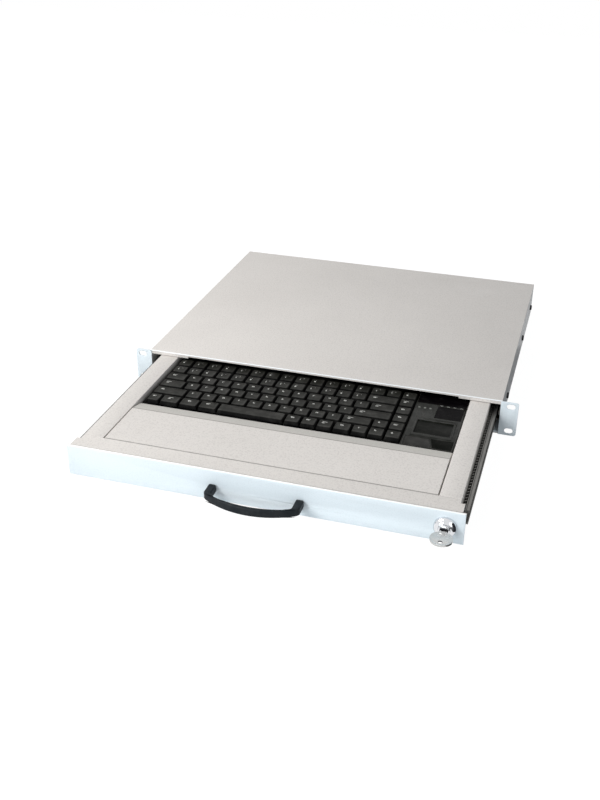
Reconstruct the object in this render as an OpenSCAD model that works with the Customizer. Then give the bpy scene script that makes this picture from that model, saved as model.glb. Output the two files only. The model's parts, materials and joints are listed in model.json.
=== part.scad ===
// Rack keyboard drawer: a one-unit steel case with rack ears, and a drawer on two
// ball-bearing slides that carries a compact keyboard with a touchpad.
// The drawer is drawn as it stands when it is pulled out for typing.
// X runs across the rack, to the right as the user sees it. Y runs back into the rack, from the
// rear face of the ears. Z is up, from the middle of the four rack slots.

/* [Case] */
// Width across both rack ears
rack_w = 482.6; // [480:0.1:486]
// Width of a rack ear beside the case
ear_w = 19.3; // [17:0.1:23]
// Depth of the case behind the ears
case_d = 380; // [372:1:450]
// Height of the case, one rack unit less its clearance
case_h = 43.6; // [43.2:0.1:45]
// Sheet of the side plates and ears
side_t = 1.5; // [1.2:0.1:1.8]
// Sheet of the top cover, base pan and rear panel
sheet_t = 1.2; // [1:0.1:1.4]
// Flanges of the side plates, under the cover and on the pan
side_flange = 9; // [6:0.5:11]
// Corner radius of the ears
ear_r = 3; // [1:0.5:5]
// Middle of a rack slot from the outer edge of its ear
slot_in = 8.75; // [7.8:0.05:10]
// Height between the upper and the lower rack slots
slot_rise = 31.75; // [31:0.05:32]
// Length of a rack slot
slot_l = 10; // [8:0.5:11]
// Height of a rack slot
slot_h = 6.5; // [6:0.1:7]
// Front lip of the cover below its top face, between the tabs
lip_h = 2.8; // [2:0.1:3.5]
// Front lip of the cover below its top face, at the tabs
tab_h = 4.9; // [3.5:0.1:5.1]
// Width of each tab beside the lip
tab_w = 51; // [40:1:70]
// Width of the cable cut-out in the rear panel
cutout_w = 72; // [50:1:120]
// Height of the cable cut-out in the rear panel
cutout_h = 20; // [16:1:20]

/* [Slides] */
// Space that a slide takes between the drawer and the side plate
slide_gap = 12.7; // [12.2:0.1:13.5]
// Length of the fixed rail
slide_l = 350; // [340:1:356]
// Height of the fixed rail
slide_h = 23; // [20:0.5:34]
// Middle of the slides above the bottom of the case
slide_z = 21; // [20.5:0.1:21.2]
// Sheet of both rails
rail_t = 1.2; // [1.1:0.05:1.4]
// Diameter of the bearing balls
ball_d = 3; // [2.8:0.1:3.2]
// Length of a ball cage
cage_l = 68; // [50:1:68]
// Start of the fixed rail behind the ears
slide_front = 16; // [15:0.5:20]
// Start of the moving rail behind the drawer's front face
rail_front = 19.5; // [12:0.5:22]

/* [Drawer] */
// How far the drawer's front face stands out in front of the ears' rear face
drawer_out = 234; // [0:1:262]
// Gap between the front panel and each side plate
panel_gap = 4.5; // [3:0.5:6]
// Bottom of the front panel above the bottom of the case
panel_rise = 0.8; // [0.5:0.1:2]
// Top of the drawer below the top of the case
deck_drop = 5.6; // [5.4:0.1:7]
// Sheet of the front panel, side channels and palm rest
drawer_t = 1.5; // [1.2:0.1:1.6]
// Depth of the drawer behind its front panel
tray_l = 340; // [330:1:350]
// Underside of the drawer floor above the bottom of the case
floor_rise = 9; // [8.5:0.5:11]
// Top flange of the front panel
flange_d = 24.4; // [20:0.1:28]
// Width of each side channel's top
channel_w = 22.8; // [20:0.1:23.5]
// Groove around the palm rest
groove = 1.4; // [0.6:0.1:1.6]
// Flat length of the palm rest
palm_l = 71.4; // [60:0.1:76]
// Length of the slope behind the palm rest
slope_l = 20.5; // [12:0.5:22]
// Drop of the slope behind the palm rest
slope_drop = 4.5; // [3:0.5:7]

/* [Handle and lock] */
// Width of the handle
handle_w = 104; // [90:1:130]
// Height of the handle's bar
handle_h = 9; // [7:0.5:11]
// Thickness of the handle's bar at its middle
handle_t = 5.2; // [5:0.1:7]
// Reach of the handle at its ends
handle_end = 16.5; // [15:0.5:22]
// Reach of the handle at its middle
handle_mid = 33; // [29:1:36]
// Reach of the space behind the bar, at the feet
handle_inner = 19.5; // [12:0.5:22]
// Middle of the handle, to the side of the panel's middle
handle_x = -0.5; // [-20:0.5:20]
// Middle of the handle above the bottom of the panel
handle_rise = 15.2; // [12:0.1:22]
// Diameter of the lock's ring
ring_d = 23.6; // [20:0.2:25]
// Diameter of the lock's body
lock_d = 16; // [15:0.2:17]
// Diameter of the lock's turning core
core_d = 12; // [11:0.2:12.6]
// Length of the lock's body behind the panel
lock_l = 24; // [20:1:28]
// Axis of the lock inside the drawer's side face
lock_inset = 11.3; // [11:0.1:16]
// Axis of the lock above the bottom of the panel
lock_rise = 18; // [17:0.5:20]
// Diameter of the key's bow
bow_d = 23; // [18:0.5:26]
// Length of the key's blade in the lock
blade_l = 24; // [20:1:26]

/* [Keyboard] */
// Share of the tray between the channels that the sixteen columns of keys take
keys_share = 0.83; // [0.8:0.005:0.84]
// Gap between the skirts of two keys
key_gap = 0.85; // [0.7:0.05:1.2]
// Slant of a key's sides, from skirt to top
key_slant = 1.5; // [0.8:0.1:2]
// Height of a keycap
key_h = 4.8; // [4:0.1:5.5]
// Travel of a key
key_travel = 3; // [2:0.1:3.2]
// Tops of the keys below the drawer's top
key_drop = 2.4; // [2:0.1:4]
// Frame in front of the keys
frame_front = 6.2; // [4:0.1:9]
// Rim of the frame behind the keys
frame_back = 5.5; // [4:0.1:8]
// Depth of the keyboard behind that rim, under the cover
frame_rear = 14; // [10:0.5:20]
// Frame beside the keys
frame_side = 2.6; // [2:0.1:4]

/* [Hidden] */
$fn = 64;
// Overrun of every cut past the face that it opens
over = 1;
// Fits: between sheets of one body, a turning fit, and room around moving pieces
seam = 0.3;
run_fit = 0.05;
slack = 0.3;

// Case
case_w = rack_w - 2 * ear_w;
slot_span = rack_w - 2 * slot_in;
lip_gap = case_w - 2 * tab_w;
side_in = case_w / 2 - side_t;
slot_z = (case_h - slot_rise) / 2;
under_cover = case_h - sheet_t;
lip_end = 2;
rear_fold = 9;
// Slides, all drawn on the right and mirrored for the left
wall_x = side_in - slide_gap;
outer_top = slide_h / 2;
ball_sink = 0.5;
ball_gap = ball_d - 2 * ball_sink;
ball_z = outer_top - rail_t - ball_gap / 2;
inner_top = outer_top - rail_t - ball_gap;
outer_reach = 10.3;
inner_reach = 8.8;
ball_in = 7.5;
ball_x = side_in - ball_in;
cage_t = 0.8;
cage_gap = 0.9;
cage_web_x = side_in - rail_t - cage_gap - cage_t;
cage_flange = 7.4;
cage_y = (slide_front + slide_l - drawer_out - cage_l) / 2;
ball_count = 4;
cage_window_w = 10;
cage_window_h = 10;
// Screws of the slides
screw_d = 4;
screw_head_d = 7.4;
screw_head_h = 2.5;
screw_socket_d = 2.4;
screw_shares = [0.125, 0.625, 0.94];
rail_head_h = 1.3;
rail_screw_l = 2.6;
// Drawer
deck_z = case_h - deck_drop;
panel_w = 2 * (side_in - panel_gap);
wall_in = wall_x - drawer_t;
channel_in = wall_x - channel_w;
floor_top = floor_rise + sheet_t;
lip_drop = 10;
flange_wing = 4.7;
flange_wing_d = 17;
tab_l = 18;
tab_rise = 6.9;
palm_x = channel_in - groove;
palm_y = flange_d + sheet_t;
palm_end = palm_y + palm_l + slope_l;
notch_w = 28;
notch_d = 34;
tray_end = drawer_t + tray_l;
cable_w = 36;
cable_h = 10;
cable_rise = 6.3;
// Handle and lock
handle_z = panel_rise + handle_rise;
handle_sag = handle_mid - handle_end;
handle_r = (pow(handle_w / 2, 2) + pow(handle_sag, 2)) / (2 * handle_sag);
foot_w = 8.5;
handle_inner_w = handle_w - 2 * foot_w;
inner_sag = handle_mid - handle_t - handle_inner;
inner_r = (pow(handle_inner_w / 2, 2) + pow(inner_sag, 2)) / (2 * inner_sag);
foot_cut = 2;
foot_screw_l = 12;
lock_x = wall_x - lock_inset;
lock_z = panel_rise + lock_rise;
ring_l = 6.5;
ring_edge = 1.2;
nut_d = 18.4;
nut_l = 4;
hex_turn = 30;
core_out = 0.7;
square_w = 6;
cam_t = 2;
cam_w = 10;
cam_end = 3;
cam_l = lock_z - cam_end;
cam_y = lock_l + drawer_t + slack;
cam_screw_head = 8;
cam_screw_d = 3;
cam_screw_l = 7;
keyway_w = 8;
keyway_h = 2.2;
blade_w = 7.6;
blade_t = 1.8;
bow_t = 2.2;
bow_neck = 5;
bow_hole_d = 4.4;
bow_hole_in = 5.8;
shut_gap = 0.5;
strike_w = 17;
strike_foot = 9;
strike_clear = 1.4;
strike_top = floor_rise - strike_clear;
rivet_d = 3.2;
// Keyboard
board_x0 = -palm_x;
key_x0 = board_x0 + frame_side;
frame_y = palm_end + slack;
key_y0 = frame_y + frame_front;
row_count = 6;
column_count = 16;
key_pitch = keys_share * 2 * palm_x / column_count;
key_x1 = key_x0 + column_count * key_pitch;
frame_x1 = key_x1 + slack;
rim_end = key_y0 + row_count * key_pitch + frame_back;
frame_end = rim_end + frame_rear;
key_top = deck_z - key_drop;
key_low = key_top - key_h;
plate_t = 1.5;
plate_top = key_low - key_travel - slack;
plate_low = plate_top - plate_t;
frame_top = key_low + slack;
stem_w = 5;
stem_l = 7.2;
cap_wall = 1.3;
dish_r = 38;
dish_deep = 0.6;
base_t = 2;
board_t = 1.6;
sheet_h = 0.8;
post_d = 9;
post_bore_d = 2.5;
base_screw_d = 2.4;
base_head_d = 5.5;
base_head_h = 1.8;
base_screw_l = 9;
stem_low = key_low + key_h - 2 * cap_wall - stem_l;
board_z = stem_low - key_travel - slack - sheet_h - board_t;
post_x_shares = [0.06, 0.5, 0.94];
post_y_shares = [0.12, 0.88];
wide_key_share = 1.9;
stem_shift_share = 0.34;
// Key widths of each row, as shares of the key pitch
one_shares = [for (i = [1:column_count]) 1];
function ones(n) = [for (i = [1:n]) 1];
bottom_row_shares = [0.9, 1.25, 1.25, 1.25, 4.25, 1, 1, 1, 1.1, 1, 1, 1];
lower_row_shares = concat([2.15], ones(10), [1.85, 1, 1]);
home_row_shares = concat([1.65], ones(11), [2.35, 1]);
tab_row_shares = concat([1.4], ones(12), [1.6, 1]);
number_row_shares = concat(ones(13), [2, 1]);
row_shares = [bottom_row_shares, lower_row_shares, home_row_shares, tab_row_shares,
    number_row_shares, one_shares];
// Touchpad
touch_x0 = frame_x1 + slack;
touch_x1 = palm_x;
touch_w = touch_x1 - touch_x0;
touch_l = rim_end - frame_y;
panel_drop = 2.1;
touch_top = key_top - panel_drop;
touch_t = 1.6;
touch_skin = touch_top - touch_t;
pad_x0_share = 0.16;
pad_x1_share = 0.855;
pad_y0_share = 0.235;
pad_y1_share = 0.475;
rim_w = 3;
rim_l = 5.5;
rim_h = 0.7;
pad_t = 1.2;
button_y1_share = 0.172;
button_split_share = 0.555;
button_slant = 2.4;
button_edge = 1.2;
button_sink = 0.2;
button_flange = 0.7;
flange_reach = 0.6;
split_gap = 0.9;
led_d = 3;
led_up = 0.2;
led_y_share = 0.72;
led_x_shares = [0.09, 0.2, 0.31];
window_x_shares = [0.44, 0.91];
window_y_shares = [0.555, 0.73];
window_deep = 0.3;

// How far the shut drawer's front face stands in front of the ears' rear face
function shut_out() = side_t + drawer_t;
// Start of key i of a row, as a share of the key pitch
function key_start_share(shares, i) = i <= 0 ? 0 : shares[i - 1] + key_start_share(shares, i - 1);
// Middle of key i of a row, and places of its stems
function key_mid(row, i) = key_x0
    + (key_start_share(row_shares[row], i) + row_shares[row][i] / 2) * key_pitch;
function row_mid(row) = key_y0 + (row + 1 / 2) * key_pitch;
function stems(share) = share < wide_key_share ? [0]
    : [-share * stem_shift_share * key_pitch, 0, share * stem_shift_share * key_pitch];

// The case stands with its rack slots around the origin
module case_frame() translate([0, 0, -case_h / 2]) children();
// The drawer's own frame has y = 0 on its front face
module drawer_frame() translate([0, -drawer_out, -case_h / 2]) children();
module left() mirror([1, 0, 0]) children();

// A box between two corners
module block(low, high) translate(low) cube(high - low);
// A cylinder along X or Y, from a point
module rod_x(at, d, l) translate(at) rotate([0, 90, 0]) cylinder(d = d, h = l);
module rod_y(at, d, l) translate(at) rotate([-90, 0, 0]) cylinder(d = d, h = l);
// A slot through a sheet that faces Y
module slot_y(at, l, h, deep) {
    rod_y(at - [(l - h) / 2, 0, 0], h, deep);
    rod_y(at + [(l - h) / 2, 0, 0], h, deep);
    block(at - [(l - h) / 2, 0, h / 2], at + [(l - h) / 2, deep, h / 2]);
}

// Case

module base_pan() color("gainsboro") case_frame() difference() {
    block([-side_in, 0, 0], [side_in, case_d - sheet_t, sheet_t]);
    for (x = strike_rivet_x()) translate([x, strike_y() - strike_foot / 2, -over])
        cylinder(d = rivet_d, h = sheet_t + 2 * over);
}

module side_plate() difference() {
    union() {
        block([side_in, -side_t, 0], [case_w / 2, case_d - sheet_t, under_cover]);
        block([side_in - side_flange, 0, sheet_t],
            [side_in, case_d - 2 * sheet_t, sheet_t + side_t]);
        block([side_in - side_flange, lip_end, under_cover - side_t],
            [side_in, case_d - 2 * sheet_t, under_cover]);
        ear();
    }
    for (z = [slot_z, case_h - slot_z])
        slot_y([slot_span / 2, -side_t - over, z], slot_l, slot_h, side_t + 2 * over);
    for (s = screw_shares)
        rod_x([side_in - over, slide_front + s * slide_l, slide_z],
            screw_d + 2 * run_fit, side_t + 2 * over);
}

// The ear is bent outwards from the side plate, with its outer corners rounded
module ear() {
    end = rack_w / 2;
    block([case_w / 2, -side_t, 0], [end - ear_r, 0, case_h]);
    block([end - ear_r, -side_t, ear_r], [end, 0, case_h - ear_r]);
    for (z = [ear_r, case_h - ear_r]) rod_y([end - ear_r, -side_t, z], 2 * ear_r, side_t);
}

module right_side_plate() color("lightsteelblue") case_frame() side_plate();
module left_side_plate() color("lightsteelblue") case_frame() left() side_plate();

// The cover has a front lip with two deeper tabs, and a rear flange over the rear panel
module top_cover() color("gainsboro") case_frame() difference() {
    union() {
        block([-case_w / 2, 0, under_cover], [case_w / 2, case_d, case_h]);
        block([-side_in, 0, case_h - lip_h], [side_in, sheet_t, under_cover]);
        for (s = [-1, 1]) block([s < 0 ? -side_in : lip_gap / 2, 0, case_h - tab_h],
            [s < 0 ? -lip_gap / 2 : side_in, sheet_t, case_h - lip_h]);
        block([-case_w / 2, case_d - sheet_t, case_h - rear_fold], [case_w / 2, case_d, under_cover]);
    }
    for (x = cover_screw_x()) rod_y([x, case_d - sheet_t - over, cover_screw_z()],
        rivet_d + 2 * run_fit, sheet_t + 2 * over);
}

function cover_screw_x() = [-case_w / 2 + 4 * side_flange, 0, case_w / 2 - 4 * side_flange];
function cover_screw_z() = case_h - (rear_fold + sheet_t) / 2;

module rear_panel() color("gainsboro") case_frame() difference() {
    block([-side_in + slack, case_d - 2 * sheet_t, sheet_t],
        [side_in - slack, case_d - sheet_t, under_cover]);
    slot_y([0, case_d - 2 * sheet_t - over, case_h / 2], cutout_w, cutout_h, sheet_t + 2 * over);
    for (x = cover_screw_x()) rod_y([x, case_d - 2 * sheet_t - over, cover_screw_z()],
        rivet_d + 2 * run_fit, sheet_t + 2 * over);
}

// A rubber ring that lines the cable cut-out and grips both faces of the sheet
module cable_grommet() color("dimgray") case_frame() difference() {
    rim = 2.2;
    y0 = case_d - 2 * sheet_t;
    union() {
        slot_y([0, y0, case_h / 2], cutout_w - 2 * run_fit, cutout_h - 2 * run_fit, sheet_t);
        slot_y([0, y0 - rim, case_h / 2], cutout_w + 2 * rim, cutout_h + 2 * rim, rim);
        slot_y([0, y0 + sheet_t, case_h / 2], cutout_w + 2 * rim, cutout_h + 2 * rim, sheet_t);
    }
    slot_y([0, y0 - rim - over, case_h / 2], cutout_w - 2 * rim, cutout_h - 2 * rim,
        rim + 2 * sheet_t + 2 * over);
}

module cover_screws() color("dimgray") case_frame()
    for (x = cover_screw_x()) {
        rod_y([x, case_d - 2 * sheet_t, cover_screw_z()], rivet_d, 2 * sheet_t + slack);
        rod_y([x, case_d, cover_screw_z()], 2 * rivet_d, sheet_t);
    }

// Pan-head screws that hold the fixed rails to the side plates
module side_screws() color("dimgray") case_frame()
    for (s = screw_shares, flip = [0, 1]) mirror([flip, 0, 0]) {
        at = [side_in - rail_t, slide_front + s * slide_l, slide_z];
        rod_x(at, screw_d - 2 * run_fit, rail_t + side_t + slack);
        difference() {
            rod_x(at + [rail_t + side_t, 0, 0], screw_head_d, screw_head_h);
            rod_x(at + [rail_t + side_t + screw_head_h / 2, 0, 0], screw_socket_d, screw_head_h);
        }
    }

function strike_y() = lock_l + drawer_t + slack - shut_out() - shut_gap - side_t;
function strike_rivet_x() = [for (s = [-1, 1]) lock_x + s * strike_w / 4];

// An angle on the base pan that the lock's cam drops behind when the drawer is shut
module lock_strike() color("silver") case_frame() translate([lock_x, strike_y(), sheet_t])
    difference() {
        union() {
            block([-strike_w / 2, 0, 0], [strike_w / 2, side_t, strike_top - sheet_t]);
            mirror([0, 1, 0]) block([-strike_w / 2, 0, 0], [strike_w / 2, strike_foot, side_t]);
        }
        for (s = [-1, 1]) translate([s * strike_w / 4, -strike_foot / 2, -over])
            cylinder(d = rivet_d, h = side_t + 2 * over);
    }

// Rivets through the strike's foot and the pan, flush below
module strike_rivets() color("silver") case_frame()
    for (x = strike_rivet_x()) translate([x, strike_y() - strike_foot / 2, 0]) {
        cylinder(d = rivet_d - 2 * run_fit, h = sheet_t + side_t);
        translate([0, 0, sheet_t + side_t]) cylinder(d = 2 * rivet_d, h = rail_head_h);
    }

// Slides

// A channel rail seen along Y: a web, and two flanges that reach sideways from it
module rail(web_x, reach, top, l, groove_x, groove_z) difference() {
    union() {
        tip = web_x + reach;
        block([min(web_x, web_x + sign(reach) * rail_t), 0, -top],
            [max(web_x, web_x + sign(reach) * rail_t), l, top]);
        for (z = [-top, top - rail_t]) block([min(web_x, tip), 0, z], [max(web_x, tip), l, z + rail_t]);
    }
    for (z = [-groove_z, groove_z]) rod_y([groove_x, -over, z], ball_d + 2 * run_fit, l + 2 * over);
}

module outer_rail() translate([0, slide_front, slide_z]) difference() {
    union() {
        rail(side_in, -outer_reach, outer_top, slide_l, ball_x, ball_z);
        // Stop that keeps the ball cage in when the drawer is fully out
        block([cage_web_x, 0, -cage_window_h / 2], [side_in - rail_t, rail_t, cage_window_h / 2]);
    }
    for (s = screw_shares) rod_x([side_in - rail_t - over, s * slide_l, 0], screw_d, rail_t + 2 * over);
}

module inner_rail() translate([0, rail_front, slide_z]) difference() {
    rail(wall_x, inner_reach, inner_top, slide_l - rail_front, ball_x, ball_z);
    for (y = rail_screw_y()) rod_x([wall_x - over, y - rail_front, 0], screw_d, rail_t + 2 * over);
}

function rail_screw_y() = [for (s = screw_shares) s * tray_l];

module right_outer_rail() color("slategray") case_frame() outer_rail();
module left_outer_rail() color("slategray") case_frame() left() outer_rail();
module right_inner_rail() color("gray") drawer_frame() inner_rail();
module left_inner_rail() color("gray") drawer_frame() left() inner_rail();

function ball_y(i) = cage_l * (i + 1 / 2) / ball_count;

// The cage wraps the moving rail, with the balls in round pockets
module ball_cage() translate([0, cage_y, slide_z]) difference() {
    union() {
        block([cage_web_x, 0, -ball_z - cage_t / 2], [cage_web_x + cage_t, cage_l, ball_z + cage_t / 2]);
        for (z = [-ball_z, ball_z]) block([cage_web_x - cage_flange, 0, z - cage_t / 2],
            [cage_web_x, cage_l, z + cage_t / 2]);
    }
    for (i = [0:ball_count - 1]) {
        for (z = [-ball_z, ball_z]) translate([ball_x, ball_y(i), z - over])
            cylinder(d = ball_d + 2 * run_fit, h = 2 * over);
        block([cage_web_x - over, ball_y(i) - cage_window_w / 2, -cage_window_h / 2],
            [cage_web_x + cage_t + over, ball_y(i) + cage_window_w / 2, cage_window_h / 2]);
    }
}

module slide_balls() translate([0, cage_y, slide_z])
    for (i = [0:ball_count - 1], z = [-ball_z, ball_z])
        translate([ball_x, ball_y(i), z]) sphere(d = ball_d, $fn = 32);

module right_ball_cage() color("darkgray") case_frame() ball_cage();
module left_ball_cage() color("darkgray") case_frame() left() ball_cage();
module right_slide_balls() color("silver") case_frame() slide_balls();
module left_slide_balls() color("silver") case_frame() left() slide_balls();

// Screws through the moving rails into the side channels
module rail_screws() color("dimgray") drawer_frame()
    for (y = rail_screw_y(), flip = [0, 1]) mirror([flip, 0, 0]) {
        rod_x([wall_x + rail_t, y, slide_z], screw_head_d, rail_head_h);
        rod_x([wall_x + rail_t - rail_screw_l, y, slide_z], screw_d - 2 * run_fit, rail_screw_l);
    }

// Drawer

// The floor leaves a corner open for the lock's cam
module drawer_floor() color("gainsboro") drawer_frame() difference() {
    block([-wall_in, drawer_t, floor_rise], [wall_in, tray_end - sheet_t, floor_top]);
    block([wall_in - notch_w, drawer_t - over, floor_rise - over],
        [wall_in + over, notch_d, floor_top + over]);
    for (x = post_x(), y = post_y()) translate([x, y, floor_rise - over])
        cylinder(d = base_screw_d + 2 * run_fit, h = sheet_t + 2 * over);
}

// A channel has its wall on the slide's side, its top beside the keyboard and a lip at the well
module channel() difference() {
    union() {
        block([wall_in, drawer_t, floor_rise], [wall_x, tray_end, deck_z - drawer_t]);
        block([channel_in, flange_d + seam, deck_z - drawer_t], [wall_x, tray_end, deck_z]);
        block([channel_in, flange_d + seam, deck_z - lip_drop],
            [channel_in + drawer_t, tray_end - sheet_t, deck_z - drawer_t]);
    }
    for (y = rail_screw_y()) rod_x([wall_in - over, y, slide_z], screw_d, drawer_t + 2 * over);
}

module right_channel() color("gainsboro") drawer_frame() channel();
module left_channel() color("gainsboro") drawer_frame() left() channel();

// The front panel is folded back at its top, with wings at the corners and two corner tabs
module front_panel() color("aliceblue") drawer_frame() difference() {
    union() {
        block([-panel_w / 2, 0, panel_rise], [panel_w / 2, drawer_t, deck_z]);
        block([-wall_x, drawer_t, deck_z - drawer_t], [wall_x, flange_d, deck_z]);
        block([-wall_x - flange_wing, drawer_t, deck_z - drawer_t],
            [wall_x + flange_wing, flange_wing_d, deck_z]);
        for (flip = [0, 1]) mirror([flip, 0, 0])
            block([wall_in - drawer_t, drawer_t, deck_z - drawer_t - tab_rise],
                [wall_in, tab_l, deck_z - drawer_t]);
    }
    rod_y([lock_x, -over, lock_z], lock_d + 2 * run_fit, drawer_t + 2 * over);
    for (x = handle_feet()) rod_y([x, -over, handle_z], screw_d + 2 * run_fit, drawer_t + 2 * over);
}

module drawer_back() color("gainsboro") drawer_frame() difference() {
    block([-wall_in, tray_end - sheet_t, floor_rise], [wall_in, tray_end, deck_z - drawer_t]);
    cable_way(tray_end - sheet_t - over, tray_end + over);
}

// A hood that stands on the drawer floor: an outline in Y and Z, with both sides closed
module hood(points, inner_points) {
    rotate([90, 0, 90]) difference() {
        translate([0, 0, -palm_x]) linear_extrude(2 * palm_x) polygon(points);
        translate([0, 0, -palm_x + drawer_t]) linear_extrude(2 * (palm_x - drawer_t))
            polygon(inner_points);
    }
}

// The palm rest has an open corner, where the lock's cam swings
module palm_rest() color("gainsboro") drawer_frame() difference() {
    palm_hood();
    block([wall_in - notch_w, palm_y - over, floor_top - over],
        [palm_x + over, notch_d, lock_z + core_d / 2 + slack]);
}

module palm_hood() {
    z0 = floor_top;
    step = deck_z - slope_drop;
    t = drawer_t;
    hood([[palm_y, z0], [palm_y, deck_z], [palm_y + palm_l, deck_z], [palm_end, step], [palm_end, z0]],
        [[palm_y + t, z0 - over], [palm_y + t, deck_z - t], [palm_y + palm_l - t / 3, deck_z - t],
            [palm_end - t, step - t * 2 / 3], [palm_end - t, z0 - over]]);
}

// A hood open at both ends, towards the keyboard and towards the drawer's back
module rear_deck() color("gainsboro") drawer_frame() {
    y0 = frame_end + slack;
    y1 = tray_end - sheet_t - slack;
    t = drawer_t;
    hood([[y0, floor_top], [y0, deck_z], [y1, deck_z], [y1, floor_top]],
        [[y0 - t, floor_top - over], [y0 - t, deck_z - t], [y1 + t, deck_z - t],
            [y1 + t, floor_top - over]]);
}

// The way for the keyboard's cable, from the tub to the back of the drawer
module cable_way(y0, y1) slot_y([0, y0, floor_top + cable_rise], cable_w, cable_h, y1 - y0);

function handle_feet() = [for (s = [-1, 1]) handle_x + s * (handle_w - foot_w) / 2];

// A bowed bar on two feet
module handle() color("darkslategray") drawer_frame() translate([handle_x, 0, handle_z - handle_h / 2])
    difference() {
        mirror([0, 1, 0]) linear_extrude(handle_h) intersection() {
            difference() {
                translate([-handle_w / 2, 0]) square([handle_w, handle_mid]);
                intersection() {
                    translate([0, handle_mid - handle_t - inner_r]) circle(r = inner_r, $fn = 180);
                    translate([-handle_inner_w / 2, -over]) square([handle_inner_w, handle_mid + over]);
                }
                for (s = [-1, 1]) translate([s * handle_w / 2, handle_end]) rotate(45)
                    square(foot_cut * sqrt(2), center = true);
            }
            translate([0, handle_mid - handle_r]) circle(r = handle_r, $fn = 180);
        }
        for (s = [-1, 1]) rod_y([s * (handle_w - foot_w) / 2, -foot_screw_l, handle_h / 2],
            screw_d, foot_screw_l + over);
    }

module handle_screws() color("dimgray") drawer_frame()
    for (x = handle_feet()) {
        rod_y([x, -foot_screw_l + over, handle_z], screw_d - 2 * run_fit, foot_screw_l + drawer_t);
        rod_y([x, drawer_t, handle_z], screw_head_d, screw_head_h);
    }

// Lock and key

// A threaded body with a ring in front of the panel
module lock_body() color("silver") drawer_frame() translate([lock_x, 0, lock_z]) difference() {
    union() {
        rod_y([0, 0, 0], lock_d, lock_l + drawer_t);
        rod_y([0, -ring_l + ring_edge, 0], ring_d, ring_l - ring_edge);
        translate([0, -ring_l, 0]) rotate([-90, 0, 0])
            cylinder(d1 = ring_d - 2 * ring_edge, d2 = ring_d, h = ring_edge);
    }
    rod_y([0, -ring_l - over, 0], core_d + 2 * run_fit, ring_l + lock_l + drawer_t + 2 * over);
}

module lock_nut() color("silver") drawer_frame() translate([lock_x, drawer_t, lock_z]) difference() {
    rotate([-90, hex_turn, 0]) cylinder(d = nut_d / cos(hex_turn), h = nut_l, $fn = 6);
    rod_y([0, -over, 0], lock_d + 2 * run_fit, nut_l + 2 * over);
}

// The turning core, with a flat keyway and a square end for the cam
module lock_plug() color("silver") drawer_frame() translate([lock_x, 0, lock_z]) difference() {
    union() {
        rod_y([0, -ring_l - core_out, 0], core_d, ring_l + core_out + lock_l + drawer_t + slack);
        block([-square_w / 2, cam_y, -square_w / 2], [square_w / 2, cam_y + cam_t, square_w / 2]);
    }
    block([-keyway_w / 2, -ring_l - core_out - over, -keyway_h / 2],
        [keyway_w / 2, blade_l - ring_l - core_out + slack, keyway_h / 2]);
    rod_y([0, cam_y + cam_t - cam_screw_l, 0], cam_screw_d, cam_screw_l + over);
}

// The cam points to the middle of the drawer when it is unlocked
module lock_cam() color("darkgray") drawer_frame() translate([lock_x, cam_y, lock_z]) difference() {
    union() {
        rod_y([0, 0, 0], core_d, cam_t);
        block([-cam_l + cam_w / 2, 0, -cam_w / 2], [0, cam_t, cam_w / 2]);
        intersection() {
            rod_y([-cam_l + cam_w, 0, 0], 2 * cam_w, cam_t);
            block([-cam_l, 0, -cam_w / 2], [-cam_l + cam_w / 2, cam_t, cam_w / 2]);
        }
    }
    block([-square_w / 2 - run_fit, -over, -square_w / 2 - run_fit],
        [square_w / 2 + run_fit, cam_t + over, square_w / 2 + run_fit]);
}

module cam_screw() color("dimgray") drawer_frame() translate([lock_x, cam_y + cam_t, lock_z]) {
    rod_y([0, 0, 0], cam_screw_head, cam_t);
    rod_y([0, -cam_screw_l + over, 0], cam_screw_d - 2 * run_fit, cam_screw_l - over);
}

// A flat key, its round bow lying level in front of the lock
module key() color("silver") drawer_frame() translate([lock_x, -ring_l - core_out, lock_z]) {
    block([-blade_w / 2, -bow_neck, -blade_t / 2], [blade_w / 2, blade_l, blade_t / 2]);
    difference() {
        translate([0, -bow_neck - bow_d / 2 + blade_t, -bow_t / 2]) cylinder(d = bow_d, h = bow_t);
        translate([0, -bow_neck - bow_d + bow_hole_in, -over - bow_t])
            cylinder(d = bow_hole_d, h = 2 * bow_t + 2 * over);
        block([-bow_d, -slack, -over - bow_t], [bow_d, bow_d, over + bow_t]);
    }
}

// Keyboard

function post_x() = [for (s = post_x_shares) board_x0 + s * 2 * palm_x];
function post_y() = [for (s = post_y_shares) frame_y + s * touch_l];

// A tub with posts, on the drawer floor
module keyboard_base() color("dimgray") drawer_frame() difference() {
    union() {
        difference() {
            block([-palm_x, frame_y, floor_top], [palm_x, frame_end, plate_low]);
            block([-palm_x + base_t, frame_y + base_t, floor_top + base_t],
                [palm_x - base_t, frame_end - base_t, plate_low + over]);
        }
        for (x = post_x(), y = post_y()) translate([x, y, floor_top])
            cylinder(d = post_d, h = board_z - floor_top);
    }
    for (x = post_x(), y = post_y()) translate([x, y, floor_top - over])
        cylinder(d = post_bore_d, h = base_screw_l + over);
    cable_way(frame_end - base_t - over, frame_end + over);
}

module keyboard_screws() color("dimgray") drawer_frame()
    for (x = post_x(), y = post_y()) translate([x, y, floor_rise]) {
        translate([0, 0, -base_head_h]) cylinder(d = base_head_d, h = base_head_h);
        cylinder(d = base_screw_d, h = base_screw_l);
    }

module circuit_board() color("darkgreen") drawer_frame()
    block([-palm_x + base_t + slack, frame_y + base_t + slack, board_z],
        [palm_x - base_t - slack, frame_end - base_t - slack, board_z + board_t]);

module dome_sheet() color("lightgray") drawer_frame()
    block([-palm_x + base_t + slack, key_y0, board_z + board_t],
        [key_x1, key_y0 + row_count * key_pitch, board_z + board_t + sheet_h]);

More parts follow.
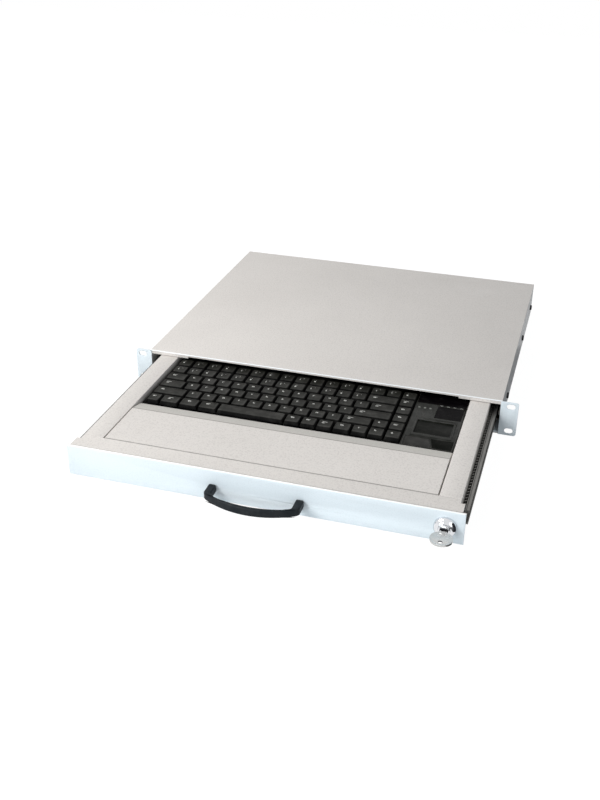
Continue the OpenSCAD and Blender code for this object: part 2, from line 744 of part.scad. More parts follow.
// The black frame around the keys, with a plate below them that guides each stem
module keyboard_frame() color("#26282a") drawer_frame() difference() {
    block([board_x0, frame_y, plate_low], [frame_x1, frame_end, frame_top]);
    block([key_x0 - slack / 2, key_y0 - slack / 2, plate_top],
        [key_x1 - slack / 2, key_y0 + row_count * key_pitch + slack / 2, frame_top + over]);
    for (row = [0:row_count - 1], i = [0:len(row_shares[row]) - 1], s = stems(row_shares[row][i]))
        translate([key_mid(row, i) + s, row_mid(row), plate_low]) stem_hole();
}

module stem_hole() {
    w = stem_w + 2 * slack;
    translate([-w / 2, -w / 2, -over]) cube([w, w, plate_t + 2 * over]);
}

// One keycap around the origin of its cell: slanted sides, a dished top, a hollow and its stems
module keycap(share) {
    w = share * key_pitch - key_gap;
    d = key_pitch - key_gap;
    difference() {
        intersection() {
            rotate([90, 0, 0]) translate([0, 0, -d / 2]) linear_extrude(d) cap_side(w);
            rotate([90, 0, 90]) translate([0, 0, -w / 2]) linear_extrude(w) cap_side(d);
        }
        if (share < wide_key_share / sqrt(2)) rod_y([0, -key_pitch, key_h + dish_r - dish_deep],
            2 * dish_r, 2 * key_pitch, $fn = 120);
        block([-w / 2 + 2 * cap_wall, -d / 2 + 2 * cap_wall, -over],
            [w / 2 - 2 * cap_wall, d / 2 - 2 * cap_wall, key_h - 2 * cap_wall]);
    }
    for (s = stems(share)) translate([s - stem_w / 2, -stem_w / 2, key_h - 2 * cap_wall - stem_l])
        cube([stem_w, stem_w, stem_l]);
}

module cap_side(w) polygon([[-w / 2, 0], [w / 2, 0],
    [w / 2 - key_slant, key_h], [-w / 2 + key_slant, key_h]]);

// Keys number first to last of a row
module keys(row, first, last) drawer_frame()
    for (i = [first:last]) translate([key_mid(row, i), row_mid(row), key_low]) keycap(row_shares[row][i]);

module function_keys() color("#2b2d2f") keys(5, 0, 15);
module number_keys() color("#303234") keys(4, 0, 12);
module backspace_key() color("#303234") keys(4, 13, 13);
module tab_key() color("#303234") keys(3, 0, 0);
module tab_row_keys() color("#303234") keys(3, 1, 13);
module caps_lock_key() color("#303234") keys(2, 0, 0);
module home_row_keys() color("#303234") keys(2, 1, 11);
module enter_key() color("#303234") keys(2, 12, 12);
module left_shift_key() color("#303234") keys(1, 0, 0);
module lower_row_keys() color("#303234") keys(1, 1, 10);
module right_shift_key() color("#303234") keys(1, 11, 11);
module space_bar() color("#303234") keys(0, 4, 4);
module modifier_keys() color("#303234") {
    keys(0, 0, 3);
    keys(0, 5, 8);
}
module arrow_keys() color("#303234") {
    keys(0, 9, 11);
    keys(1, 12, 12);
}
module nav_keys() color("#303234") {
    keys(1, 13, 13);
    keys(2, 13, 13);
    keys(3, 14, 14);
    keys(4, 14, 14);
}

// Touchpad

function touch_x(share) = touch_x0 + share * touch_w;
function touch_y(share) = frame_y + share * touch_l;
pad_low = [touch_x(pad_x0_share), touch_y(pad_y0_share)];
pad_high = [touch_x(pad_x1_share), touch_y(pad_y1_share)];
button_x0 = touch_x0 + touch_t + button_edge;
button_x1 = touch_x1 - touch_t - button_edge;
button_y0 = frame_y + touch_t + button_edge;
button_y1 = touch_y(button_y1_share);
split_x = touch_x(button_split_share);

// A box given by two plan corners, its heights and a margin around its plan
module pad_block(low, high, z0, z1, grow) block([low.x - grow, low.y - grow, z0],
    [high.x + grow, high.y + grow, z1]);

// The raised panel beside the keys, on the tub's rim
module touchpad_panel() color("#222426") drawer_frame() difference() {
    union() {
        block([touch_x0, frame_y, plate_low], [touch_x1, frame_end, touch_top]);
        block([pad_low.x - rim_w, pad_low.y - rim_l, touch_skin],
            [pad_high.x + rim_w, pad_high.y + rim_l, touch_top + rim_h]);
    }
    block([touch_x0 + touch_t, frame_y + touch_t, plate_low - over],
        [touch_x1 - touch_t, frame_end - touch_t, touch_skin]);
    pad_block(pad_low, pad_high, touch_skin - over, touch_top + rim_h + over, run_fit);
    for (b = [0, 1]) button_block(b, touch_skin - over, touch_top + over, slack);
    for (s = led_x_shares) translate([touch_x(s), touch_y(led_y_share), touch_skin - over])
        cylinder(d = led_d + 2 * run_fit, h = touch_t + 2 * over);
    block([touch_x(window_x_shares[0]), touch_y(window_y_shares[0]), touch_top - window_deep],
        [touch_x(window_x_shares[1]), touch_y(window_y_shares[1]), touch_top + over]);
}

module touchpad_surface() color("#1c1e1f") drawer_frame()
    pad_block(pad_low, pad_high, touch_skin, touch_skin + pad_t, 0);

module touchpad_board() color("darkgreen") drawer_frame()
    pad_block(pad_low, pad_high, touch_skin - board_t, touch_skin, rim_w / 2);

module status_leds() color("honeydew") drawer_frame()
    for (s = led_x_shares) translate([touch_x(s), touch_y(led_y_share), touch_skin - over])
        cylinder(d = led_d, h = touch_t + over + led_up);

// The left (0) or right (1) button in plan, on either side of a slanting split
module button_block(b, z0, z1, grow) translate([0, 0, z0]) linear_extrude(z1 - z0) polygon([
    [b < 1 ? button_x0 - grow : split_x + split_gap - grow + button_slant, button_y0 - grow],
    [b < 1 ? split_x - split_gap + grow + button_slant : button_x1 + grow, button_y0 - grow],
    [b < 1 ? split_x - split_gap + grow - button_slant : button_x1 + grow, button_y1 + grow],
    [b < 1 ? button_x0 - grow : split_x + split_gap - grow - button_slant, button_y1 + grow]]);

// A button cap with a thin flange that holds it under the panel
module touch_button(b) drawer_frame() {
    button_block(b, touch_skin - slack - button_flange, touch_top - button_sink, 0);
    button_block(b, touch_skin - slack - button_flange, touch_skin - slack, flange_reach);
}

module touch_left_button() color("#303234") touch_button(0);
module touch_right_button() color("#1c1e1f") touch_button(1);

base_pan();
left_side_plate();
right_side_plate();
top_cover();
rear_panel();
cable_grommet();
left_outer_rail();
right_outer_rail();
side_screws();
cover_screws();
lock_strike();
strike_rivets();
left_ball_cage();
left_slide_balls();
right_ball_cage();
right_slide_balls();
drawer_floor();
left_channel();
right_channel();
front_panel();
drawer_back();
palm_rest();
rear_deck();
left_inner_rail();
right_inner_rail();
rail_screws();
handle();
handle_screws();
lock_body();
lock_nut();
lock_plug();
lock_cam();
cam_screw();
key();
keyboard_base();
keyboard_frame();
dome_sheet();
circuit_board();
keyboard_screws();
touchpad_panel();
touchpad_surface();
touchpad_board();
status_leds();
touch_left_button();
touch_right_button();
function_keys();
number_keys();
tab_row_keys();
home_row_keys();
lower_row_keys();
modifier_keys();
nav_keys();
arrow_keys();
tab_key();
caps_lock_key();
left_shift_key();
right_shift_key();
enter_key();
backspace_key();
space_bar();
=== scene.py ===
import json
import math

import bpy
from mathutils import Matrix, Vector


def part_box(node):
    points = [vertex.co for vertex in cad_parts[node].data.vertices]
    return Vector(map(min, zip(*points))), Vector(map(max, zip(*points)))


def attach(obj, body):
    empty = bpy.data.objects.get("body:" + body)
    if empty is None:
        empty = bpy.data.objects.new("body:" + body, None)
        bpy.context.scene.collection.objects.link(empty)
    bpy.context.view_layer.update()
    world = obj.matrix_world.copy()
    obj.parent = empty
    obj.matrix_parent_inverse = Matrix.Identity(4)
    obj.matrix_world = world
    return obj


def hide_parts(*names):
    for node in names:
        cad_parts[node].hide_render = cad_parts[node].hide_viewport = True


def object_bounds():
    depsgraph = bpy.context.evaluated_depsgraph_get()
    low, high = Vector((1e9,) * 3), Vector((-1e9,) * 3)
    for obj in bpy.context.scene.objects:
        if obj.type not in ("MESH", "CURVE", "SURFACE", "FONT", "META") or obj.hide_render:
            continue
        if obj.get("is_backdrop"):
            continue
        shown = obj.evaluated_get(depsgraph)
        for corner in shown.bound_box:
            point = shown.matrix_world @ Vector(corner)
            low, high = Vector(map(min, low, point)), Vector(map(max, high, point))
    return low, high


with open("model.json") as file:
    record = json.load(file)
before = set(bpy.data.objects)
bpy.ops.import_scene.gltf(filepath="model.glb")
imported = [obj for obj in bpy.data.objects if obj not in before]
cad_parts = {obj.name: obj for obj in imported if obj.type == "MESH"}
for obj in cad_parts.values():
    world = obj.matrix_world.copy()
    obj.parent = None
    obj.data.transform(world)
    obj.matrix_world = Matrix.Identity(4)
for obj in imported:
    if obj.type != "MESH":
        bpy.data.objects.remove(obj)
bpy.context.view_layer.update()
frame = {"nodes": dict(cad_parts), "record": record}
nodes = frame["nodes"]
mm = 0.001
hair = 0.01 * mm
# A face looks along an axis when more than this share of its normal points that way
facing = 0.9


# Selecting and placing

def take(piece):
    # only this piece is selected and active
    bpy.ops.object.select_all(action="DESELECT")
    piece.select_set(True)
    bpy.context.view_layer.objects.active = piece


def newPiece(name, data):
    # an object for a mesh, a camera or a lamp, selected and active
    piece = bpy.data.objects.new(name, data)
    bpy.context.scene.collection.objects.link(piece)
    take(piece)
    return piece


def settle(piece):
    # the place goes into the mesh, so the object stands at the origin
    take(piece)
    bpy.ops.object.transform_apply(location=True, rotation=True, scale=True)
    return piece


def pickAll():
    # in edit mode: selects all of the active piece
    bpy.ops.object.mode_set(mode="EDIT")
    bpy.ops.mesh.select_all(action="SELECT")


def clearPicks(kind):
    # nothing picked any more, and faces or edges are what is picked next
    bpy.ops.object.mode_set(mode="EDIT")
    bpy.ops.mesh.select_mode(type=kind)
    bpy.ops.mesh.select_all(action="DESELECT")
    bpy.ops.object.mode_set(mode="OBJECT")


def pickFaces(piece, wanted):
    # in edit mode: selects the faces for which wanted(centre, normal) holds
    clearPicks("FACE")
    for face in piece.data.polygons:
        face.select = bool(wanted(face.center, face.normal))
    bpy.ops.object.mode_set(mode="EDIT")


def pickEdges(piece, wanted):
    # in edit mode: selects the edges for which wanted(start, end) holds
    clearPicks("EDGE")
    points = piece.data.vertices
    for edge in piece.data.edges:
        edge.select = bool(wanted(*(points[i].co for i in edge.vertices)))
    bpy.ops.object.mode_set(mode="EDIT")


def pickSharp(piece, angle, wanted):
    # in edit mode: selects the sharp edges for which wanted(start, end) holds
    clearPicks("EDGE")
    bpy.ops.object.mode_set(mode="EDIT")
    bpy.ops.mesh.edges_select_sharp(sharpness=math.radians(angle))
    bpy.ops.object.mode_set(mode="OBJECT")
    points = piece.data.vertices
    for edge in piece.data.edges:
        if edge.select and not wanted(*(points[i].co for i in edge.vertices)):
            edge.select = False
    for vertex in points:
        vertex.select = False
    bpy.ops.object.mode_set(mode="EDIT")


def doneEditing():
    bpy.ops.object.mode_set(mode="OBJECT")


def bevelPicked(width, steps):
    # rounds the selected edges, and ends editing
    bpy.ops.mesh.bevel(offset=width, segments=steps, affect="EDGES")
    doneEditing()


def shrinkTop(piece, shares, centre):
    # draws the upper face in towards a point, and ends editing
    pickFaces(piece, lambda c, n: n.z > facing)
    bpy.ops.transform.resize(value=shares, center_override=centre)
    doneEditing()


def startBox(name, low, high):
    # a cube primitive between two corners, ready to be shaped
    centre = [(a + b) / 2 for a, b in zip(low, high)]
    size = [b - a for a, b in zip(low, high)]
    bpy.ops.mesh.primitive_cube_add(size=1, location=centre)
    piece = bpy.context.active_object
    piece.scale = size
    piece.name = piece.data.name = name
    return settle(piece)


def startRod(name, centre, radius, depth, axis, sides):
    # a cylinder primitive along an axis
    turn = {"X": (0, math.pi / 2, 0), "Y": (-math.pi / 2, 0, 0), "Z": (0, 0, 0)}[axis]
    bpy.ops.mesh.primitive_cylinder_add(vertices=sides, radius=radius, depth=depth,
                                        location=centre, rotation=turn)
    piece = bpy.context.active_object
    piece.name = piece.data.name = name
    return settle(piece)


def evenShading(piece, angle):
    # smooth where it is round, and flat faces stay flat
    take(piece)
    bpy.ops.object.shade_smooth_by_angle(angle=math.radians(angle))
    even = piece.modifiers.new("even", "WEIGHTED_NORMAL")
    even.keep_sharp = True
    bpy.ops.object.modifier_apply(modifier=even.name)
    return piece


def cutAway(piece, tool, operation="DIFFERENCE"):
    # a boolean with a helper piece, which is then removed
    take(piece)
    change = piece.modifiers.new("change", "BOOLEAN")
    change.operation = operation
    change.solver = "EXACT"
    change.object = tool
    bpy.ops.object.modifier_apply(modifier=change.name)
    bpy.data.objects.remove(tool)
    return piece


def roundEdges(piece, width, steps=3, angle=30, clamp=False):
    # a bevel on every sharp edge, its flat faces kept flat
    take(piece)
    bpy.ops.object.shade_smooth()
    bevel = piece.modifiers.new("edges", "BEVEL")
    bevel.width = width
    bevel.segments = steps
    bevel.limit_method = "ANGLE"
    bevel.angle_limit = math.radians(angle)
    bevel.use_clamp_overlap = clamp
    bevel.harden_normals = True
    bpy.ops.object.modifier_apply(modifier=bevel.name)
    return piece


def mergedCopy(name, nodeName):
    # the CAD node's shape as a clean mesh of its own
    piece = newPiece(name, nodes[nodeName].data.copy())
    piece.data.name = name
    pickAll()
    bpy.ops.mesh.remove_doubles(threshold=0.002 * mm)
    bpy.ops.mesh.dissolve_limited(angle_limit=math.radians(1))
    doneEditing()
    return piece


def drawnOut(name, points, faces, way):
    # flat faces, drawn out into a solid
    mesh = bpy.data.meshes.new(name)
    mesh.from_pydata(points, [], faces)
    piece = newPiece(name, mesh)
    pickAll()
    bpy.ops.mesh.extrude_region_move(TRANSFORM_OT_translate={"value": way})
    pickAll()
    bpy.ops.mesh.normals_make_consistent(inside=False)
    doneEditing()
    return piece


def joined(name, pieces):
    # several pieces as one object
    bpy.ops.object.select_all(action="DESELECT")
    for piece in pieces:
        piece.select_set(True)
    bpy.context.view_layer.objects.active = pieces[0]
    if len(pieces) > 1:
        bpy.ops.object.join()
    pieces[0].name = pieces[0].data.name = name
    return pieces[0]


def paint(piece, *materials):
    piece.data.materials.clear()
    for material in materials:
        piece.data.materials.append(material)
    return piece


def finishPiece(piece, nodeName, slotName, body, *materials):
    # the piece stands for a CAD node and moves with its body
    if materials:
        paint(piece, *materials)
    if nodeName:
        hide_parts(nodeName)
    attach(piece, body)
    return piece


# Camera, fitted to the case's corners in the photograph

camera = {
    "place": (0.292965, -1.068966, 0.583404),
    "yaw": 0.287852,
    "pitch": 0.494533,
    "roll": 0.012332,
    "lens": 45.971,
    "sensor": 36,
    "nearest": 0.05,
}


def makeCamera():
    yaw, pitch, roll = camera["yaw"], camera["pitch"], camera["roll"]
    level = math.cos(pitch)
    ahead = Vector((-math.sin(yaw) * level, math.cos(yaw) * level, -math.sin(pitch)))
    right = Vector((math.cos(yaw), math.sin(yaw), 0))
    up = right.cross(ahead)
    turnedRight = right * math.cos(roll) + up * math.sin(roll)
    turnedUp = up * math.cos(roll) - right * math.sin(roll)
    data = bpy.data.cameras.new("camera")
    data.lens = camera["lens"]
    data.sensor_width = camera["sensor"]
    data.clip_start = camera["nearest"]
    eye = newPiece("camera", data)
    turn = Matrix((turnedRight, turnedUp, -ahead)).transposed().to_4x4()
    eye.matrix_world = Matrix.Translation(camera["place"]) @ turn
    bpy.context.scene.camera = eye


makeCamera()
print("camera placed")


# Node groups

def newGroup(name, inputs):
    # a group that gives a colour, a roughness and a height for the bump
    group = bpy.data.node_groups.new(name, "ShaderNodeTree")
    outputs = {"Color": "Color", "Roughness": "Float", "Height": "Float"}
    for way, sockets in (("INPUT", inputs), ("OUTPUT", outputs)):
        for socketName, kind in sockets.items():
            group.interface.new_socket(socketName, in_out=way, socket_type="NodeSocket" + kind)
    start = group.nodes.new("NodeGroupInput")
    end = group.nodes.new("NodeGroupOutput")
    return group, start, end


def noise(tree, place, scale, detail=2.0, rough=0.5):
    node = tree.nodes.new("ShaderNodeTexNoise")
    node.inputs["Detail"].default_value = detail
    node.inputs["Roughness"].default_value = rough
    if isinstance(scale, (int, float)):
        node.inputs["Scale"].default_value = scale
    else:
        tree.links.new(scale, node.inputs["Scale"])
    tree.links.new(place, node.inputs["Vector"])
    return node.outputs["Fac"]


def mapped(tree, value, low, high, toLow=0.0, toHigh=1.0):
    node = tree.nodes.new("ShaderNodeMapRange")
    node.inputs["From Min"].default_value = low
    node.inputs["From Max"].default_value = high
    node.inputs["To Min"].default_value = toLow
    node.inputs["To Max"].default_value = toHigh
    tree.links.new(value, node.inputs["Value"])
    return node.outputs["Result"]


def maths(tree, operation, a, b):
    node = tree.nodes.new("ShaderNodeMath")
    node.operation = operation
    for socket, value in zip(node.inputs, (a, b)):
        if isinstance(value, (int, float)):
            socket.default_value = value
        else:
            tree.links.new(value, socket)
    return node.outputs["Value"]


def mixed(tree, amount, a, b):
    node = tree.nodes.new("ShaderNodeMix")
    node.data_type = "RGBA"
    for name, value in (("Factor", amount), ("A", a), ("B", b)):
        socket = next(s for s in node.inputs if s.name == name and s.enabled)
        if isinstance(value, (int, float, tuple)):
            socket.default_value = value
        else:
            tree.links.new(value, socket)
    return next(s for s in node.outputs if s.enabled)


def objectPlace(tree):
    return tree.nodes.new("ShaderNodeTexCoord").outputs["Object"]


def roughSpan(tree, start, amount):
    # from the low roughness at amount 0 to the high one at 1
    span = maths(tree, "SUBTRACT", start.outputs["High Roughness"], start.outputs["Low Roughness"])
    return maths(tree, "ADD", maths(tree, "MULTIPLY", amount, span), start.outputs["Low Roughness"])


def seenRays(tree):
    # 1 for what the camera sees directly, in a reflection or through something clear
    rays = tree.nodes.new("ShaderNodeLightPath")
    seen = maths(tree, "MAXIMUM", rays.outputs["Is Camera Ray"], rays.outputs["Is Glossy Ray"])
    return maths(tree, "MAXIMUM", seen, rays.outputs["Is Transmission Ray"])


def showMix(tree, amount, first, second, end):
    # two shaders, mixed by amount, go to the output node
    blend = tree.nodes.new("ShaderNodeMixShader")
    tree.links.new(amount, blend.inputs["Fac"])
    tree.links.new(first, blend.inputs[1])
    tree.links.new(second, blend.inputs[2])
    tree.links.new(blend.outputs["Shader"], tree.nodes[end].inputs["Surface"])


def makePowderGroup():
    # powder coat: fine flecks, a cloudy tone and an orange-peel height
    group, start, end = newGroup("powderCoat", {
        "Paint": "Color", "Fleck": "Color", "Fleck Amount": "Float", "Fleck Scale": "Float",
        "Peel Scale": "Float"})
    place = objectPlace(group)
    flecks = mapped(group, noise(group, place, start.outputs["Fleck Scale"], 1.5, 0.6), 0.48, 0.72)
    amount = maths(group, "MULTIPLY", flecks, start.outputs["Fleck Amount"])
    cloud = noise(group, place, 7.0, 3.0, 0.55)
    tone = mapped(group, cloud, 0.3, 0.7, 0.965, 1.02)
    painted = mixed(group, amount, start.outputs["Paint"], start.outputs["Fleck"])
    toned = group.nodes.new("ShaderNodeHueSaturation")
    group.links.new(painted, toned.inputs["Color"])
    group.links.new(tone, toned.inputs["Value"])
    group.links.new(toned.outputs["Color"], end.inputs["Color"])
    smears = noise(group, place, 38.0, 4.0, 0.6)
    group.links.new(mapped(group, smears, 0.3, 0.7, 0.4, 0.54), end.inputs["Roughness"])
    peel = noise(group, place, start.outputs["Peel Scale"], 2.0, 0.5)
    group.links.new(peel, end.inputs["Height"])
    return group


def makeGrainGroup():
    # moulded plastic: fine texture, dust in the hollows and finger smears
    group, start, end = newGroup("mouldedGrain", {
        "Plastic": "Color", "Dust": "Color", "Dust Amount": "Float", "Grain Scale": "Float",
        "Low Roughness": "Float", "High Roughness": "Float"})
    place = objectPlace(group)
    hollows = mapped(group, noise(group, place, 90.0, 5.0, 0.65), 0.45, 0.8)
    dust = maths(group, "MULTIPLY", hollows, start.outputs["Dust Amount"])
    dusted = mixed(group, dust, start.outputs["Plastic"], start.outputs["Dust"])
    group.links.new(dusted, end.inputs["Color"])
    smears = mapped(group, noise(group, place, 26.0, 3.0, 0.6), 0.3, 0.7)
    group.links.new(roughSpan(group, start, smears), end.inputs["Roughness"])
    group.links.new(noise(group, place, start.outputs["Grain Scale"], 2.0, 0.55), end.inputs["Height"])
    return group


def makeDrawnGroup():
    # rolled or turned metal: fine streaks along one axis, with dull stains
    group, start, end = newGroup("drawnMetal", {
        "Metal": "Color", "Stain": "Color", "Stain Amount": "Float", "Streak Stretch": "Vector",
        "Low Roughness": "Float", "High Roughness": "Float"})
    place = objectPlace(group)
    stretch = group.nodes.new("ShaderNodeVectorMath")
    stretch.operation = "MULTIPLY"
    group.links.new(place, stretch.inputs[0])
    group.links.new(start.outputs["Streak Stretch"], stretch.inputs[1])
    streaks = noise(group, stretch.outputs["Vector"], 1.0, 3.0, 0.6)
    dullSpots = mapped(group, noise(group, place, 45.0, 4.0, 0.6), 0.4, 0.75)
    stains = maths(group, "MULTIPLY", dullSpots, start.outputs["Stain Amount"])
    stained = mixed(group, stains, start.outputs["Metal"], start.outputs["Stain"])
    group.links.new(stained, end.inputs["Color"])
    streakShare = mapped(group, streaks, 0.25, 0.75)
    group.links.new(roughSpan(group, start, streakShare), end.inputs["Roughness"])
    group.links.new(streaks, end.inputs["Height"])
    return group


powderCoat = makePowderGroup()
mouldedGrain = makeGrainGroup()
drawnMetal = makeDrawnGroup()


# Materials

def startMaterial(name, group, values, bumpStrength, bumpDistance):
    # a Principled shader fed by one of the groups, with a fine bump
    material = bpy.data.materials.new(name)
    material.use_nodes = True
    tree = material.node_tree
    shader = tree.nodes["Principled BSDF"]
    effect = tree.nodes.new("ShaderNodeGroup")
    effect.node_tree = group
    for socketName, value in values.items():
        effect.inputs[socketName].default_value = value
    bump = tree.nodes.new("ShaderNodeBump")
    bump.inputs["Strength"].default_value = bumpStrength
    bump.inputs["Distance"].default_value = bumpDistance
    tree.links.new(effect.outputs["Color"], shader.inputs["Base Color"])
    tree.links.new(effect.outputs["Roughness"], shader.inputs["Roughness"])
    tree.links.new(effect.outputs["Height"], bump.inputs["Height"])
    tree.links.new(bump.outputs["Normal"], shader.inputs["Normal"])
    return material, shader


def powder(name, colour, fleck, amount):
    material, shader = startMaterial(name, powderCoat, {
        "Paint": (*colour, 1), "Fleck": (*fleck, 1), "Fleck Amount": amount,
        "Fleck Scale": 650.0, "Peel Scale": 1100.0}, 0.25, 0.0002)
    shader.inputs["Specular IOR Level"].default_value = 0.4
    return material


def plastic(name, colour, low, high, dust=0.12, grain=1800.0, bump=0.25, coat=0.0, shine=0.25):
    material, shader = startMaterial(name, mouldedGrain, {
        "Plastic": (*colour, 1), "Dust": (0.32, 0.31, 0.29, 1), "Dust Amount": dust,
        "Grain Scale": grain, "Low Roughness": low, "High Roughness": high}, bump, 0.0001)
    shader.inputs["Specular IOR Level"].default_value = shine
    shader.inputs["Coat Weight"].default_value = coat
    shader.inputs["Coat Roughness"].default_value = 0.12
    return material


def metal(name, colour, stain, amount, stretch, low, high, bump=0.15):
    material, shader = startMaterial(name, drawnMetal, {
        "Metal": (*colour, 1), "Stain": (*stain, 1), "Stain Amount": amount,
        "Streak Stretch": stretch, "Low Roughness": low, "High Roughness": high}, bump, 0.00005)
    shader.inputs["Metallic"].default_value = 1
    return material


alongRail = (900.0, 10.0, 900.0)
allRound = (700.0, 700.0, 700.0)
looks = {
    "case_paint": powder("casePaint", (0.70, 0.665, 0.635), (0.47, 0.44, 0.42), 0.5),
    # painted light: the case's own paint drawn lighter and cool, as under the cool front lamp, for front
    # faces and ears
    "front_paint": powder("frontPaintCoolLit", (0.71, 0.78, 0.825), (0.58, 0.64, 0.68), 0.3),
    "slide_steel": metal("slideSteel", (0.21, 0.205, 0.195), (0.1, 0.1, 0.095), 0.4,
        alongRail, 0.38, 0.55),
    "ball_steel": metal("brightSteel", (0.62, 0.62, 0.63), (0.4, 0.4, 0.4), 0.3,
        allRound, 0.12, 0.25),
    "dark_screws": metal("darkScrew", (0.03, 0.03, 0.033), (0.08, 0.075, 0.07), 0.4,
        allRound, 0.35, 0.5),
    "grommet_rubber": plastic("grommetRubber", (0.012, 0.012, 0.012), 0.65, 0.85, 0.25, 900.0, 0.4),
    "handle_plastic": plastic("handlePlastic", (0.010, 0.013, 0.016), 0.4, 0.52, 0.06, 1500.0, 0.3,
        shine=0.1),
    "lock_chrome": metal("lockChrome", (0.74, 0.75, 0.77), (0.5, 0.51, 0.55), 0.25,
        allRound, 0.05, 0.12, 0.03),
    "keyboard_case": plastic("keyboardCase", (0.004, 0.004, 0.0042), 0.42, 0.55, 0.08, 1500.0, 0.3,
        shine=0.06),
    "touch_gloss": plastic("touchGloss", (0.0095, 0.01, 0.008), 0.26, 0.38, 0.08, 1200.0, 0.12,
        shine=0.12),
    "touch_skin": plastic("touchSkin", (0.0045, 0.005, 0.004), 0.38, 0.48, 0.06, 2200.0, 0.2,
        shine=0.04),
    "dome_rubber": plastic("domeRubber", (0.5, 0.5, 0.48), 0.5, 0.7, 0.15),
    "board_green": plastic("boardGreen", (0.02, 0.09, 0.04), 0.3, 0.4, 0.1),
    "led_lens": plastic("ledLens", (0.14, 0.145, 0.13), 0.2, 0.3, 0.02, 1800.0, 0.05, coat=0.3),
    "left_button_plastic": plastic("leftButton", (0.017, 0.0165, 0.015), 0.36, 0.48, 0.08,
        shine=0.08),
    "right_button_plastic": plastic("rightButton", (0.003, 0.0034, 0.0025), 0.42, 0.52, 0.03,
        shine=0.02),
    "key_plastic": plastic("keyPlastic", (0.0125, 0.0125, 0.0105), 0.42, 0.55, 0.12, 2000.0,
        shine=0.12),
}
legendInk = plastic("legendInk", (0.62, 0.62, 0.59), 0.55, 0.7, 0.1)
# painted shade: a darker copy of the key plastic for the caps' sides
paintedKeySideShade = plastic("paintedKeySideShade", (0.003, 0.003, 0.003), 0.5, 0.6, 0.05, 2000.0, shine=0.05)
# dark gloss for the status window, and for the painted shade band at the touchpad's rear
windowGlossAndShade = plastic("windowGlossAndShade", (0.002, 0.0015, 0.002), 0.2, 0.3, 0.02, 900.0, 0.05, shine=0.02)
# black for the painted shade round the keyway and in the key's ring hole, and for the black card
shadeBlack = plastic("shadeBlack", (0.008, 0.008, 0.012), 0.4, 0.55, 0.1, shine=0.1)
# painted highlight: a near-white paint for the bends of the front panel and the cover's lip
paintedHighlightPaint = powder("paintedHighlightPaint", (0.87, 0.89, 0.9), (0.76, 0.79, 0.81), 0.2)
# painted shade: a darker copy of the case paint for the palm rest's front groove and crease and the
# cover's cut sides
paintedShadePaint = powder("paintedShadePaint", (0.37, 0.35, 0.33), (0.28, 0.265, 0.25), 0.5)
# painted shade: the case paint darker, for the palm rest's slope that faces away from the light
paintedSlopeShade = powder("paintedSlopeShade", (0.57, 0.55, 0.515), (0.4, 0.385, 0.36), 0.5)
# painted shade: a darker grey for the side plates' flanks
paintedFlankShade = powder("paintedFlankShade", (0.5, 0.505, 0.51), (0.4, 0.405, 0.41), 0.3)
keyNickel = metal("keyNickel", (0.6, 0.6, 0.59), (0.38, 0.38, 0.37), 0.4, allRound, 0.16, 0.3, 0.05)
# a darker steel for the faces in the inner rails' grooves
darkGrooveSteel = metal("darkGrooveSteel", (0.035, 0.034, 0.03), (0.09, 0.085, 0.075), 0.4,
                    alongRail, 0.4, 0.6)
print("materials made")

slotOf = {entry["node"]: entry["material_slot"] for entry in frame["record"]["subparts"]}
bodyOf = {node: body for body, names in frame["record"]["behaviour"]["bodies"].items() for node in names}
for nodeName, node in nodes.items():
    paint(node, looks[slotOf[nodeName]])


def dress(nodeName, width, steps=3, clamp=False):
    # the CAD shape with softened edges and its own finish
    piece = roundEdges(mergedCopy("fine_" + nodeName, nodeName), width, steps, clamp=clamp)
    slotName = slotOf[nodeName]
    return finishPiece(piece, nodeName, slotName, bodyOf[nodeName], looks[slotName])


# Sheet metal

sheetEdges = {
    "base_pan": 0.25, "left_side_plate": 0.35, "right_side_plate": 0.35,
    "rear_panel": 0.25, "drawer_floor": 0.25, "left_channel": 0.3, "right_channel": 0.3,
    "drawer_back": 0.25, "rear_deck": 0.4, "lock_strike": 0.3,
}
tightPieces = ("drawer_back", "rear_deck", "lock_strike")
# The side plates' flanks get a darker grey than their ears, as painted shade
flankShadePieces = ("left_side_plate", "right_side_plate")
for nodeName, width in sheetEdges.items():
    sheet = dress(nodeName, width * mm, clamp=nodeName in tightPieces)
    if nodeName in flankShadePieces:
        sheet.data.materials.append(paintedFlankShade)
        for face in sheet.data.polygons:
            face.material_index = int(abs(face.normal.x) > facing)

# Shares of a face's normal say where the bend's painted highlight and the painted shade begin
frontPanel = {"radius": 2.4 * mm, "steps": 8, "edge": 0.35 * mm, "highlightFrom": 0.25, "highlightTo": 0.62}
topCover = {"radius": 1.1 * mm, "steps": 5, "edge": 0.25 * mm, "highlightFrom": 0.12, "shadeFrom": 0.8}


def foldedCopy(nodeName, fold):
    # the bent front edge is rounder than the cut ones
    piece = mergedCopy("fine_" + nodeName, nodeName)
    low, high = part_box(nodeName)
    near = 0.05 * mm

    def onBend(a, b):
        return all(abs(p.y - low.y) < near and abs(p.z - high.z) < near for p in (a, b))

    pickEdges(piece, onBend)
    bevelPicked(fold["radius"], fold["steps"])
    return roundEdges(piece, fold["edge"], 3, 40)


def makeFrontPanel():
    # the front is the case's paint drawn lighter and cool as painted light, with a painted highlight
    # along the bend and the plain case paint on top
    piece = foldedCopy("front_panel", frontPanel)
    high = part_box("front_panel")[1]
    finishPiece(piece, "front_panel", "front_paint", "drawer", looks["front_paint"],
                looks["case_paint"], paintedHighlightPaint)
    for face in piece.data.polygons:
        if face.center.z < high.z - frontPanel["radius"]:
            continue
        # the top keeps the case's paint, and the bend's faces in between get the painted highlight
        if face.normal.z > frontPanel["highlightTo"]:
            face.material_index = 1
        elif face.normal.z > frontPanel["highlightFrom"]:
            face.material_index = 2


